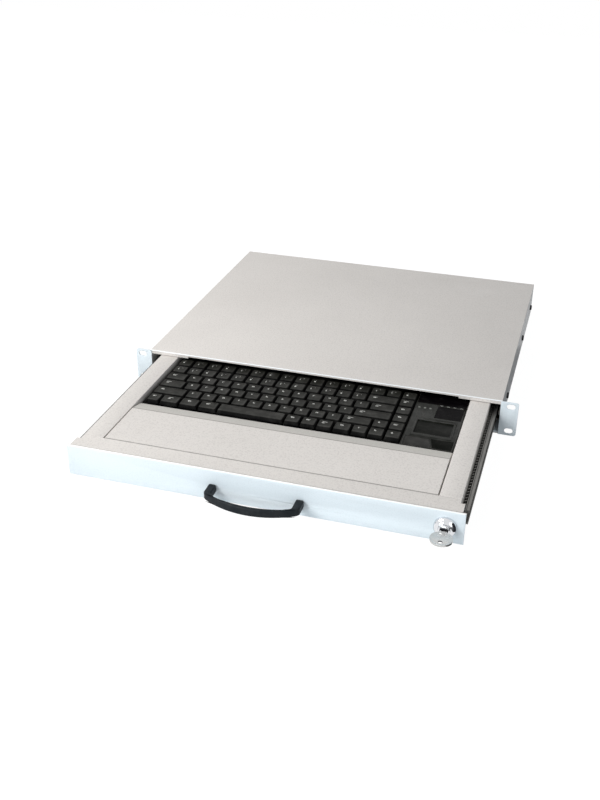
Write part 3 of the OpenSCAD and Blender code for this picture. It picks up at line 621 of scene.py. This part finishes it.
def makeTopCover():
    # its front lip is bent down, with a painted highlight on the bend and lip, and painted shade on its
    # cut sides
    piece = foldedCopy("top_cover", topCover)
    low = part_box("top_cover")[0]
    finishPiece(piece, "top_cover", "case_paint", "case", looks["case_paint"], paintedHighlightPaint, paintedShadePaint)
    for face in piece.data.polygons:
        # index 1 is the painted highlight on the lip, index 2 the painted shade on the cut sides
        outward = face.normal.y < -topCover["highlightFrom"] and face.normal.z > topCover["highlightFrom"]
        if outward and face.center.y < low.y + topCover["radius"]:
            face.material_index = 1
        elif abs(face.normal.x) > topCover["shadeFrom"]:
            face.material_index = 2


makeFrontPanel()
makeTopCover()

palmRest = {
    "topEdge": 0.7 * mm, "edge": 0.25 * mm, "flat": 71.4 * mm, "creaseWidth": 0.8 * mm,
    "creaseDepth": 0.7 * mm, "creaseTilt": 0.25, "shadeWidth": 1.1 * mm, "shadeTilt": 0.93,
}


def makePalmRest():
    # a pressed crease runs across, where the slope to the keyboard starts
    piece = mergedCopy("fine_palm_rest", "palm_rest")
    low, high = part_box("palm_rest")
    near = 0.15 * mm
    pickSharp(piece, 60, lambda a, b: min(a.z, b.z) > high.z - near)
    bevelPicked(palmRest["topEdge"], 4)
    roundEdges(piece, palmRest["edge"], 3, 40)
    crease = low.y + palmRest["flat"]

    def onCrease(a, b):
        return all(abs(p.y - crease) < near and p.z > high.z - 2 * near for p in (a, b))

    pickEdges(piece, onCrease)
    bevelPicked(palmRest["creaseWidth"], 2)
    pickEdges(piece, onCrease)
    bpy.ops.transform.translate(value=(0, 0, -palmRest["creaseDepth"]))
    doneEditing()
    evenShading(piece, 30)
    finishPiece(piece, "palm_rest", "case_paint", "drawer", looks["case_paint"], paintedShadePaint, paintedSlopeShade)
    # painted shade in the front groove and along the crease
    for face in piece.data.polygons:
        place, tilted = face.center, abs(face.normal.z) < palmRest["shadeTilt"]
        inGroove = place.y < low.y + palmRest["shadeWidth"] and tilted
        steep = abs(face.normal.y) > palmRest["creaseTilt"]
        inCrease = abs(place.y - crease) < palmRest["creaseWidth"] and steep
        if inGroove or inCrease:
            face.material_index = 1
        # the slope behind the crease gets painted shade
        elif place.y > crease and face.normal.z > 0:
            face.material_index = 2


makePalmRest()
print("sheet metal dressed")


# Slides

innerRail = {
    "half": 8.3 * mm, "grooveIn": 1.0 * mm, "grooveOut": 4.25 * mm, "grooveRise": 6 * mm,
    "tooth": (3.1 * mm, 1.7 * mm, 1.7 * mm), "toothTip": (0.9, 0.6, 1), "toothTurn": 42,
    "toothPitch": 5.8 * mm, "toothSink": 2.15 * mm,
    # half of the section, as (across from the drawer, up from the middle) in millimetres
    "section": ((0, 8.3), (0.9, 8.3), (1.15, 8.0), (1.3, 6.2), (3.9, 6.2), (4.1, 8.0), (4.4, 8.3),
                (4.6, 7.95), (5.2, 7.7), (5.8, 7.95), (6.1, 8.3), (7.3, 8.3), (8.6, 8.3), (8.8, 8.1),
                (8.8, 4.9), (7.6, 4.9), (7.4, 6.4), (6.8, 6.7), (5.2, 6.5), (4.9, 6.2),
                (4.7, 5.0), (1.2, 5.0)),
}


def makeInnerRail(side, outward):
    # the rolled section of the moving rail, drawn along its length
    node = side + "_inner_rail"
    low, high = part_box(node)
    wall = low.x if outward > 0 else high.x
    middle = (low.z + high.z) / 2
    half = [(wall + outward * a * mm, middle + v * mm) for a, v in innerRail["section"]]
    loop = half + [(x, 2 * middle - z) for x, z in reversed(half)]
    piece = drawnOut("fine_" + node, [(x, low.y, z) for x, z in loop], [range(len(loop))],
                     (0, high.y - low.y, 0))
    evenShading(piece, 30)
    grooveIn, grooveOut = (wall + outward * innerRail[edge] for edge in ("grooveIn", "grooveOut"))
    paint(piece, looks["slide_steel"], darkGrooveSteel)
    # the faces in the groove get the darker steel
    for face in piece.data.polygons:
        inGroove = min(grooveIn, grooveOut) < face.center.x < max(grooveIn, grooveOut)
        if inGroove and abs(face.center.z - middle) > innerRail["grooveRise"]:
            face.material_index = 1
    wide, deep, tall = innerRail["tooth"]
    tooth = startBox("tooth", (-wide / 2, -deep / 2, 0), (wide / 2, deep / 2, tall))
    shrinkTop(tooth, innerRail["toothTip"], (0, 0, tall))
    tooth.rotation_euler = (0, 0, math.radians(innerRail["toothTurn"]) * outward)
    settle(tooth)
    run = high.y - low.y - 2 * innerRail["toothPitch"]
    tooth.location = ((grooveIn + grooveOut) / 2, low.y + innerRail["toothPitch"],
                      middle + innerRail["half"] - innerRail["toothSink"])
    settle(tooth)
    teeth = tooth.modifiers.new("row", "ARRAY")
    teeth.use_relative_offset = False
    teeth.use_constant_offset = True
    teeth.constant_offset_displace = (0, innerRail["toothPitch"], 0)
    teeth.count = int(run / innerRail["toothPitch"])
    bpy.ops.object.modifier_apply(modifier=teeth.name)
    paint(tooth, looks["slide_steel"])
    piece = joined("fine_" + node, [piece, tooth])
    finishPiece(piece, node, "slide_steel", "drawer")


for side, outward in (("left", -1), ("right", 1)):
    dress(side + "_outer_rail", 0.3 * mm, clamp=True)
    makeInnerRail(side, outward)
    dress(side + "_ball_cage", 0.15 * mm, 2)
    balls = mergedCopy("fine_" + side + "_slide_balls", side + "_slide_balls")
    bpy.ops.object.shade_smooth()
    finishPiece(balls, side + "_slide_balls", "ball_steel", side + "_cage", looks["ball_steel"])
print("slides dressed")


# Screws

panHead = {"radius": 3.7 * mm, "height": 2.5 * mm, "socket": 1.25 * mm, "socketDepth": 1.3 * mm,
           "crown": 0.9 * mm, "flat": 0.6 * mm, "shares": (0.125, 0.625, 0.94)}


def panScrew(name, place, outward):
    # a domed pan head with a hexagon socket, on the side plate
    half = panHead["height"] / 2
    head = startRod(name, (place[0] + outward * half, place[1], place[2]), panHead["radius"],
                    panHead["height"], "X", 48)
    outerX = place[0] + outward * panHead["height"]
    pickFaces(head, lambda c, n: abs(c.x - outerX) < hair)
    bevelPicked(panHead["crown"], 4)
    pickFaces(head, lambda c, n: abs(c.x - outerX) < hair and n.x * outward > facing)
    bpy.ops.mesh.inset(thickness=panHead["flat"])
    doneEditing()
    socket = startRod(name + "_socket", (outerX, place[1], place[2]), panHead["socket"],
                      2 * panHead["socketDepth"], "X", 6)
    cutAway(head, socket)
    bpy.ops.object.shade_smooth_by_angle(angle=math.radians(35))
    return head


def makeSideScrews():
    low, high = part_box("side_screws")
    middle = (low.z + high.z) / 2
    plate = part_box("top_cover")[1].x
    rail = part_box("right_outer_rail")
    span = rail[1].y - rail[0].y
    heads = []
    for share in panHead["shares"]:
        for outward in (-1, 1):
            place = (outward * plate, rail[0].y + share * span, middle)
            heads.append(panScrew("side_head", place, outward))
    return finishPiece(joined("side_screw_heads", heads), "side_screws", "dark_screws", "case",
                       looks["dark_screws"])


makeSideScrews()
for nodeName in ("cover_screws", "strike_rivets", "rail_screws", "handle_screws", "cam_screw",
                 "keyboard_screws"):
    dress(nodeName, 0.35 * mm)
dress("cable_grommet", 0.7 * mm, 4)
print("screws and grommet made")


# Handle

handle = {
    "width": 104 * mm, "height": 9 * mm, "thick": 5.2 * mm, "end": 16.5 * mm, "middle": 33 * mm,
    "inner": 19.5 * mm, "foot": 8.5 * mm, "outerCorner": 2.8 * mm, "innerCorner": 5 * mm,
    "edge": 1.7 * mm, "edgeSteps": 5, "arcSteps": 30, "cornerSteps": 5, "footShares": (0, 0.35, 0.7, 1),
    "footFlat": 0.1 * mm,
}


def handleSide(half, reachAtEnd, reachAtMiddle, corner):
    # points of one side of the bar: foot, corner, arc, corner, foot, as (across, out)
    sag = reachAtMiddle - reachAtEnd
    radius = (half ** 2 + sag ** 2) / (2 * sag)

    def arc(x):
        return reachAtMiddle - radius + math.sqrt(radius ** 2 - x ** 2)

    first, knee = (-half, reachAtEnd - corner), (-half, reachAtEnd)
    last = (-half + corner, arc(corner - half))
    points = [(-half, first[1] * share) for share in handle["footShares"]]
    for step in range(1, handle["cornerSteps"] + 1):
        t = step / handle["cornerSteps"]
        weights = ((1 - t) ** 2, 2 * t * (1 - t), t * t)
        x, y = (sum(w * p[k] for w, p in zip(weights, (first, knee, last))) for k in (0, 1))
        points.append((x, y))
    span = 2 * (half - corner)
    for step in range(1, handle["arcSteps"]):
        x = -half + corner + span * step / handle["arcSteps"]
        points.append((x, arc(x)))
    mirrored = points[:len(handle["footShares"]) + handle["cornerSteps"]]
    return points + [(-x, y) for x, y in reversed(mirrored)]


def makeHandle():
    # the bow of the handle from above, drawn up to its height, with well rounded edges
    low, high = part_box("handle")
    middle = (low.x + high.x) / 2
    outer = handleSide(handle["width"] / 2, handle["end"], handle["middle"], handle["outerCorner"])
    inner = handleSide(handle["width"] / 2 - handle["foot"], handle["inner"],
                       handle["middle"] - handle["thick"], handle["innerCorner"])
    count = len(outer)
    piece = drawnOut("fine_handle", [(middle + x, high.y - out, low.z) for x, out in outer + inner],
                     [(i, i + 1, count + i + 1, count + i) for i in range(count - 1)],
                     (0, 0, handle["height"]))
    flat = handle["footFlat"]
    pickSharp(piece, 50, lambda a, b: min(a.y, b.y) < high.y - flat and abs(a.z - b.z) < flat)
    bevelPicked(handle["edge"], handle["edgeSteps"])
    evenShading(piece, 50)
    finishPiece(piece, "handle", "handle_plastic", "drawer", looks["handle_plastic"])


makeHandle()
print("handle made")


# Lock and key

lock = {
    "hole": 6.05 * mm, "body": 8 * mm, "chamfer": 0.4 * mm, "lead": 0.6 * mm, "steps": 96,
    # the ring's face, as (radius, place along the axis) in millimetres from the panel's face
    "face": ((11.8, 0), (11.8, -1.8), (11.65, -2.5), (11.25, -3.3), (10.65, -4.1), (9.9, -4.85),
             (9.1, -5.5), (8.3, -6.0), (7.6, -6.3), (7.1, -6.45), (6.6, -6.5), (6.3, -6.4),
             (6.1, -6.2)),
}


def turned(name, outline, centre, steps):
    # spins an outline of (radius, y) points round a line along Y
    mesh = bpy.data.meshes.new(name)
    points = [(centre[0] + radius, y, centre[2]) for radius, y in outline]
    mesh.from_pydata(points, [(i, i + 1) for i in range(len(points) - 1)], [])
    piece = newPiece(name, mesh)
    pickAll()
    bpy.ops.mesh.spin(steps=steps, angle=2 * math.pi, center=centre, axis=(0, 1, 0))
    pickAll()
    bpy.ops.mesh.remove_doubles(threshold=0.001 * mm)
    bpy.ops.mesh.normals_make_consistent(inside=False)
    doneEditing()
    bpy.ops.object.shade_smooth_by_angle(angle=math.radians(28))
    return piece


def makeLock():
    low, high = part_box("lock_body")
    centre = ((low.x + high.x) / 2, 0, (low.z + high.z) / 2)
    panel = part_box("front_panel")[0].y
    outline = [(lock["hole"], high.y), (lock["body"] - lock["chamfer"], high.y),
               (lock["body"], high.y - lock["chamfer"]), (lock["body"], panel)]
    outline += [(radius * mm, panel + out * mm) for radius, out in lock["face"]]
    outline += [(lock["hole"], low.y + lock["lead"]), (lock["hole"], high.y)]
    ring = turned("fine_lock_body", outline, centre, lock["steps"])
    finishPiece(ring, "lock_body", "lock_chrome", "drawer", looks["lock_chrome"])


makeLock()
for nodeName, width in {"lock_plug": 0.25, "lock_nut": 0.5, "lock_cam": 0.3}.items():
    dress(nodeName, width * mm, clamp=nodeName == "lock_nut")

keyway = {"wide": 8.8 * mm, "tall": 4.8 * mm, "proud": 0.3 * mm, "corner": 2 * mm, "edge": 0.1 * mm,
          "slotWide": 8 * mm, "slotTall": 2.2 * mm}


def makeKeyway():
    # dark plate round the keyway, on the core's face, as painted shade for the keyway's dark recess
    low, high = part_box("lock_plug")
    x, z = (low.x + high.x) / 2, (low.z + high.z) / 2
    half, halfTall = keyway["wide"] / 2, keyway["tall"] / 2
    plate = startBox("keyway_plate", (x - half, low.y - keyway["proud"], z - halfTall),
                     (x + half, low.y + 2 * keyway["proud"], z + halfTall))
    pickEdges(plate, lambda a, b: abs(a.y - b.y) > keyway["proud"])
    bevelPicked(keyway["corner"], 5)
    half, halfTall = keyway["slotWide"] / 2, keyway["slotTall"] / 2
    slot = startBox("slot", (x - half, low.y - mm, z - halfTall), (x + half, low.y + mm, z + halfTall))
    cutAway(plate, slot)
    roundEdges(plate, keyway["edge"], 2, 40, clamp=True)
    finishPiece(plate, None, "lock_chrome", bodyOf["lock_plug"], shadeBlack)


makeKeyway()

key = {
    "bow": 23 * mm, "thick": 2.2 * mm, "rim": 2.3 * mm, "sink": 0.4 * mm, "sinkSlope": 0.5 * mm,
    "hole": 4.4 * mm, "holeIn": 5.8 * mm, "holeWall": 0.35 * mm, "holeTilt": 0.8, "edge": 0.3 * mm,
    "neck": 7.6 * mm, "neckOut": 5 * mm, "neckIn": 2.5 * mm, "bladeThick": 1.8 * mm,
    "bladeEdge": 0.35 * mm, "bladeTip": (0.55, 1, 0.8), "groove": 1.5 * mm, "grooveHalf": 0.4 * mm,
}


def makeKey():
    # a round bow with a raised rim and a ring hole, and the blade that stands in the lock
    low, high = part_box("key")
    x, z = (low.x + high.x) / 2, (low.z + high.z) / 2
    bowY = low.y + key["bow"] / 2
    bow = startRod("fine_key", (x, bowY, z), key["bow"] / 2, key["thick"], "Z", 72)
    for up in (1, -1):
        pickFaces(bow, lambda c, n: n.z * up > facing)
        bpy.ops.mesh.inset(thickness=key["rim"])
        bpy.ops.transform.translate(value=(0, 0, -up * key["sink"]))
        bpy.ops.mesh.inset(thickness=key["sinkSlope"])
        doneEditing()
    ringHole = startRod("ring_hole", (x, low.y + key["holeIn"], z), key["hole"] / 2,
                        2 * key["thick"], "Z", 40)
    cutAway(bow, ringHole)
    halfBlade = key["bladeThick"] / 2
    mouth = low.y + key["bow"] - key["bladeThick"] + key["neckOut"]
    start = mouth - key["neckOut"] - key["neckIn"]
    blade = startBox("blade", (x - key["neck"] / 2, start, z - halfBlade),
                     (x + key["neck"] / 2, high.y, z + halfBlade))
    pickEdges(blade, lambda a, b: abs(a.y - b.y) > key["neckOut"])
    bevelPicked(key["bladeEdge"], 2)
    pickFaces(blade, lambda c, n: n.y > facing)
    bpy.ops.transform.resize(value=key["bladeTip"], center_override=(x, high.y, z))
    doneEditing()
    for turn in (-1, 1):
        middle, half = x + turn * key["groove"], key["grooveHalf"]
        slot = startBox("slot", (middle - half, mouth, z + halfBlade - half),
                        (middle + half, high.y + mm, z + halfBlade + mm))
        cutAway(blade, slot)
    cutAway(bow, blade, "UNION")
    roundEdges(bow, key["edge"], 2, 40, clamp=True)
    finishPiece(bow, "key", "lock_chrome", "lock_key", keyNickel, shadeBlack)
    # the ring hole's inner wall gets painted shade
    hub = Vector((x, low.y + key["holeIn"]))
    for face in bow.data.polygons:
        away = (face.center.xy - hub).length
        if away < key["hole"] / 2 + key["holeWall"] and abs(face.normal.z) < key["holeTilt"]:
            face.material_index = 1


makeKey()
print("lock and key made")


# Keyboard

keys = {
    "gap": 0.85 * mm, "height": 4.8 * mm, "slant": 1.5 * mm, "corner": 1.5 * mm, "rim": 0.5 * mm,
    "wall": 1.1 * mm, "hollow": 0.5, "flankTilt": 0.6, "dish": 0.5 * mm, "flatDish": 0.4,
    # each ring of the dish, as (inward in millimetres, share of the depth)
    "dishRings": ((0.7, 0.15), (1.2, 0.6), (1.6, 0.25)),
    # widths in columns from which a cap is plain, has a word or has its mark at the left
    "plainFrom": 4, "wordFrom": 1.05, "leftFrom": 1.3,
    "leftIn": 1.2 * mm, "pairRow": 4, "markSink": 0.15 * mm, "markRise": 0.05 * mm, "markFat": 1.3,
    "markTop": (0.9, 0.8, 1),
}


def keyCap(name, width):
    # one cap around the origin: slanted sides, round corners and a dished top
    depth = keys["pitch"] - keys["gap"]
    wide = width * keys["pitch"] - keys["gap"]
    height = capHigh - capLow
    cap = startBox(name, (-wide / 2, -depth / 2, 0), (wide / 2, depth / 2, height))
    topWide, topDepth = wide - 2 * keys["slant"], depth - 2 * keys["slant"]
    shrinkTop(cap, (topWide / wide, topDepth / depth, 1), (0, 0, height))
    pickEdges(cap, lambda a, b: abs(a.z - b.z) > height / 2)
    bevelPicked(keys["corner"], 4)
    pickFaces(cap, lambda c, n: n.z < -facing)
    bpy.ops.mesh.inset(thickness=keys["wall"])
    bpy.ops.mesh.extrude_region_move(TRANSFORM_OT_translate={"value": (0, 0, height * keys["hollow"])})
    pickEdges(cap, lambda a, b: min(a.z, b.z) > height - hair)
    bevelPicked(keys["rim"], 3)
    pickFaces(cap, lambda c, n: n.z > facing and c.z > height - hair)
    span = (topWide, topDepth)
    sink = keys["dish"] if width < keys["plainFrom"] else keys["dish"] * keys["flatDish"]
    for inward, share in keys["dishRings"]:
        # each ring keeps its distance from the rim on every side
        bpy.ops.mesh.extrude_region_move(TRANSFORM_OT_translate={"value": (0, 0, -sink * share)})
        smaller = [side - 2 * inward * mm for side in span]
        bpy.ops.transform.resize(value=(smaller[0] / span[0], smaller[1] / span[1], 1),
                                 center_override=(0, 0, height))
        span = smaller
    doneEditing()
    return evenShading(cap, 50)


# Each mark is a few plain strokes, (x, y, length, height) in millimetres from the key's middle
markShapes = [
    [(-2.0, 4.6, 2.4, 1.0), (-2.9, 3.4, 1.0, 2.6)],
    [(-1.8, 4.6, 2.6, 1.0), (-1.8, 3.0, 2.6, 1.0)],
    [(-2.8, 3.7, 1.0, 2.8), (-0.9, 3.7, 1.0, 2.8), (-1.8, 3.7, 1.6, 0.95)],
    [(-1.8, 3.6, 1.0, 2.8), (-1.8, 4.8, 2.6, 1.0)],
    [(-2.7, 3.7, 1.0, 2.9), (-1.7, 2.5, 2.2, 1.0)],
    [(-1.8, 4.9, 2.2, 0.95), (-1.9, 3.7, 1.8, 0.95), (-1.8, 2.5, 2.4, 0.95)],
]
pairShapes = [
    [(-3.2, 4.7, 2.0, 1.0), (-3.2, 1.2, 1.0, 2.2), (0.9, 4.3, 0.9, 1.4)],
    [(-2.6, 4.8, 1.0, 1.6), (-3.4, 1.4, 1.9, 1.0), (-3.4, 0.2, 1.9, 0.95)],
    [(-3.3, 4.7, 1.6, 1.0), (-2.9, 1.0, 1.1, 2.0), (1.2, 4.6, 1.2, 0.95)],
]
wordShapes = [
    [(-1.6, 4.6, 5.6, 1.05), (-2.2, 2.8, 4.2, 1.0)],
    [(-1.2, 4.4, 6.4, 1.05), (-2.6, 1.6, 3.4, 1.05)],
    [(-1.8, 4.6, 4.6, 1.05), (-2.4, 3.0, 1.1, 2.2), (-0.4, 2.6, 2.6, 1.0)],
]


def keyMarks(name, centre, width, row, index, topZ):
    # pale strokes towards the back left corner of the key's top, laid on its floor
    shapes, kind = markShapes, row * 5 + index * 7
    if row >= keys["pairRow"]:
        shapes = pairShapes
    if width > keys["wordFrom"] or (row, index) in wordKeys:
        shapes = wordShapes
    shift = 0 if width < keys["leftFrom"] else -(width - 1) * keys["pitch"] / 2 + keys["leftIn"]
    strokes = []
    for x, y, length, height in shapes[kind % len(shapes)]:
        middle = (centre[0] + shift + x * mm, centre[1] + y * mm)
        half = (length * mm / 2, keys["markFat"] * height * mm / 2)
        low = (middle[0] - half[0], middle[1] - half[1], topZ - keys["markSink"])
        high = (middle[0] + half[0], middle[1] + half[1], topZ + keys["markRise"])
        stroke = startBox(name, low, high)
        shrinkTop(stroke, keys["markTop"], (*middle, topZ))
        strokes.append(stroke)
    return strokes


ones = [1] * 16
# The widths of each row's keys in columns, from the front row to the back
rowWidths = [
    [0.9, 1.25, 1.25, 1.25, 4.25, 1, 1, 1, 1.1, 1, 1, 1],
    [2.15] + [1] * 10 + [1.85, 1, 1],
    [1.65] + [1] * 11 + [2.35, 1],
    [1.4] + [1] * 12 + [1.6, 1],
    [1] * 13 + [2, 1],
    ones,
]
# Which keys each node holds, as (row, first, last)
keyGroups = {
    "function_keys": [(5, 0, 15)], "number_keys": [(4, 0, 12)], "backspace_key": [(4, 13, 13)],
    "tab_key": [(3, 0, 0)], "tab_row_keys": [(3, 1, 13)], "caps_lock_key": [(2, 0, 0)],
    "home_row_keys": [(2, 1, 11)], "enter_key": [(2, 12, 12)], "left_shift_key": [(1, 0, 0)],
    "lower_row_keys": [(1, 1, 10)], "right_shift_key": [(1, 11, 11)], "space_bar": [(0, 4, 4)],
    "modifier_keys": [(0, 0, 3), (0, 5, 8)], "arrow_keys": [(0, 9, 11), (1, 12, 12)],
    "nav_keys": [(1, 13, 13), (2, 13, 13), (3, 14, 14), (4, 14, 14)],
}
# Small keys whose marks are wide
wordKeys = {(0, 0), (0, 5), (0, 6), (0, 7), (0, 8), (1, 13), (2, 13), (3, 14), (4, 14)}
rowLow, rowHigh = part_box("function_keys")
keys["pitch"] = (rowHigh.x - rowLow.x + keys["gap"]) / len(ones)
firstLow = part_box("modifier_keys")[0]
keyLeft = firstLow.x - keys["gap"] / 2
keyFront = firstLow.y - keys["gap"] / 2
capHigh = rowHigh.z
capLow = capHigh - keys["height"]
capStore = {}


def placedCap(name, width, x, y):
    # a copy of the cap of that width, moved to its place
    if width not in capStore:
        capStore[width] = keyCap("cap_%d" % round(width * 100), width)
    piece = newPiece(name, capStore[width].data.copy())
    piece.location = (x, y, capLow)
    return settle(piece)


def makeKeys():
    count = 0
    for nodeName, runs in keyGroups.items():
        caps, marks = [], []
        for row, first, last in runs:
            for index in range(first, last + 1):
                width = rowWidths[row][index]
                x = keyLeft + (sum(rowWidths[row][:index]) + width / 2) * keys["pitch"]
                y = keyFront + (row + 0.5) * keys["pitch"]
                caps.append(placedCap("cap", width, x, y))
                if width < keys["plainFrom"]:
                    marks += keyMarks("mark", (x, y), width, row, index, capHigh - keys["dish"])
                count += 1
        body = paint(joined("caps_" + nodeName, caps), looks["key_plastic"], paintedKeySideShade)
        # the caps' sides get painted shade, darker than their tops
        for face in body.data.polygons:
            if face.normal.z < keys["flankTilt"]:
                face.material_index = 1
        parts = [body]
        if marks:
            parts.append(paint(joined("marks_" + nodeName, marks), legendInk))
        body = joined("fine_" + nodeName, parts)
        finishPiece(body, nodeName, "key_plastic", bodyOf[nodeName])
    for cap in capStore.values():
        bpy.data.objects.remove(cap)
    print("keys made:", count)


makeKeys()
dress("keyboard_frame", 0.3 * mm)
dress("keyboard_base", 0.5 * mm, 2)
for nodeName in ("circuit_board", "touchpad_board", "dome_sheet"):
    dress(nodeName, 0.12 * mm, 2)
print("keyboard made")


# Touchpad

touch = {
    "panelRise": 0.2 * mm, "covered": 14 * mm, "shadeBandGap": 3.6 * mm, "shadeBandInset": 0.8 * mm,
    # the window's sides as shares of the open part of the panel
    "windowLeft": 0.44, "windowRight": 0.96, "windowFront": 0.555, "windowBack": 0.78,
    "windowInset": 0.1 * mm, "windowRise": 0.12 * mm, "windowSink": 0.3 * mm,
    "windowCorner": 1.2 * mm, "windowEdge": 0.1 * mm,
    "markCount": 4, "markGap": 2.2 * mm, "markHalf": 1.6 * mm, "markDeep": 0.6 * mm,
    "markSink": 0.05 * mm, "markRise": 0.04 * mm, "markTop": (0.9, 0.7, 1),
}
touchEdges = {"touchpad_panel": 0.3, "touchpad_surface": 0.25, "touch_left_button": 0.22,
              "touch_right_button": 0.22, "status_leds": 0.25}
for nodeName, width in touchEdges.items():
    dress(nodeName, width * mm)


def makeWindow():
    # dark glossy window beside the status lights, and a dark band at the panel's rear as painted shade
    # under the cover's lip
    low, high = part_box("touchpad_panel")
    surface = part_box("touch_left_button")[1].z + touch["panelRise"]
    bottom, top = surface - touch["windowSink"], surface + touch["windowRise"]
    size = (high.x - low.x, high.y - low.y - touch["covered"])
    inset = touch["windowInset"]
    left = low.x + touch["windowLeft"] * size[0] + inset
    front = low.y + touch["windowFront"] * size[1] + inset
    right, back = low.x + touch["windowRight"] * size[0], low.y + touch["windowBack"] * size[1]
    window = startBox("status_window", (left, front, bottom), (right, back, top))
    pickEdges(window, lambda a, b: abs(a.z - b.z) > inset)
    bevelPicked(touch["windowCorner"], 4)
    roundEdges(window, touch["windowEdge"], 2)
    # painted shade: a dark band at the panel's rear, under the cover's lip
    inset = touch["shadeBandInset"]
    shadeBand = startBox("shadeBand", (low.x + inset, back + touch["shadeBandGap"], bottom),
                    (high.x - inset, high.y - inset, top))
    roundEdges(shadeBand, touch["windowEdge"], 2)
    window = joined("status_window", [window, shadeBand])
    finishPiece(window, None, "touch_gloss", "drawer", windowGlossAndShade)
    strokes = []
    for index in range(touch["markCount"]):
        x = left + (index + 0.5) * (right - left) / touch["markCount"]
        y = back + touch["markGap"]
        stroke = startBox("stroke", (x - touch["markHalf"], y, surface - touch["markSink"]),
                          (x + touch["markHalf"], y + touch["markDeep"], surface + touch["markRise"]))
        shrinkTop(stroke, touch["markTop"], (x, y + touch["markDeep"] / 2, surface))
        strokes.append(stroke)
    finishPiece(joined("touchpad_marks", strokes), None, "touch_gloss", "drawer", legendInk)


makeWindow()
print("touchpad made")


# Floor, background and light

floorLook = {"size": 6.0, "middle": 0.05, "drop": 0.05 * mm, "colour": (0.6, 0.6, 0.6, 1),
             "roughness": 0.9, "glow": 1.2, "glowShare": 0.8}


def makeFloor():
    # a pale floor that takes shadows, and glows only for the eye and for reflections
    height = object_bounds()[0].z - floorLook["drop"]
    bpy.ops.mesh.primitive_plane_add(size=floorLook["size"], location=(0, floorLook["middle"], height))
    floor = bpy.context.active_object
    floor.name = "floor"
    settle(floor)
    material = bpy.data.materials.new("paleFloor")
    material.use_nodes = True
    tree = material.node_tree
    shader = tree.nodes["Principled BSDF"]
    shader.inputs["Base Color"].default_value = floorLook["colour"]
    shader.inputs["Roughness"].default_value = floorLook["roughness"]
    glow = tree.nodes.new("ShaderNodeEmission")
    glow.inputs["Strength"].default_value = floorLook["glow"]
    amount = maths(tree, "MULTIPLY", seenRays(tree), floorLook["glowShare"])
    showMix(tree, amount, shader.outputs["BSDF"], glow.outputs["Emission"], "Material Output")
    paint(floor, material)
    floor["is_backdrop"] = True


blackCard = {"near": 0.225, "far": 0.7, "front": -0.62, "back": 0.25, "top": 0.3, "lift": 0.5 * mm}


def makeCard():
    # a studio's black card, right of the object, that only reflections see
    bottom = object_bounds()[0].z + blackCard["lift"]
    card = startBox("black_card", (blackCard["near"], blackCard["front"], bottom),
                    (blackCard["far"], blackCard["back"], blackCard["top"]))
    pickFaces(card, lambda c, n: n.x < facing and n.z > -facing)
    bpy.ops.mesh.delete(type="FACE")
    doneEditing()
    paint(card, shadeBlack)
    card.visible_camera = card.visible_diffuse = card.visible_shadow = card.visible_transmission = False
    card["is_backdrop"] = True


sky = {"colour": (0.93, 0.97, 1.0, 1), "strength": 0.35, "seen": (1, 1, 1, 1)}


def makeWorld():
    # a dim cool sky for the light, and plain white where it is seen
    world = bpy.data.worlds.new("studio")
    bpy.context.scene.world = world
    world.use_nodes = True
    tree = world.node_tree
    light = tree.nodes["Background"]
    light.inputs["Color"].default_value = sky["colour"]
    light.inputs["Strength"].default_value = sky["strength"]
    white = tree.nodes.new("ShaderNodeBackground")
    white.inputs["Color"].default_value = sky["seen"]
    showMix(tree, seenRays(tree), light.outputs["Background"], white.outputs["Background"],
            "World Output")


lamps = {
    "mainSoftbox": {"place": (-1.05, -0.95, 1.3), "aim": (0, -0.1, 0), "size": 0.9, "power": 30.5,
                    "colour": (1, 0.985, 0.965)},
    "frontFill": {"place": (-0.35, -1.55, 0.3), "aim": (-0.05, -0.234, 0), "size": 0.45, "power": 5.5,
                  "colour": (0.88, 0.96, 1)},
    "rightFill": {"place": (1.2, -1.1, 0.5), "aim": (0.1, -0.1, 0), "size": 0.8, "power": 4,
                  "colour": (0.93, 0.97, 1)},
}


def makeLamps():
    for name, lamp in lamps.items():
        data = bpy.data.lights.new(name, "AREA")
        data.size = lamp["size"]
        data.energy = lamp["power"]
        data.color = lamp["colour"]
        item = newPiece(name, data)
        item.location = lamp["place"]
        way = Vector(lamp["aim"]) - Vector(lamp["place"])
        item.rotation_euler = way.to_track_quat("-Z", "Y").to_euler()


makeFloor()
makeCard()
makeWorld()
makeLamps()
bpy.context.scene.view_settings.view_transform = "Standard"
print("stage made")
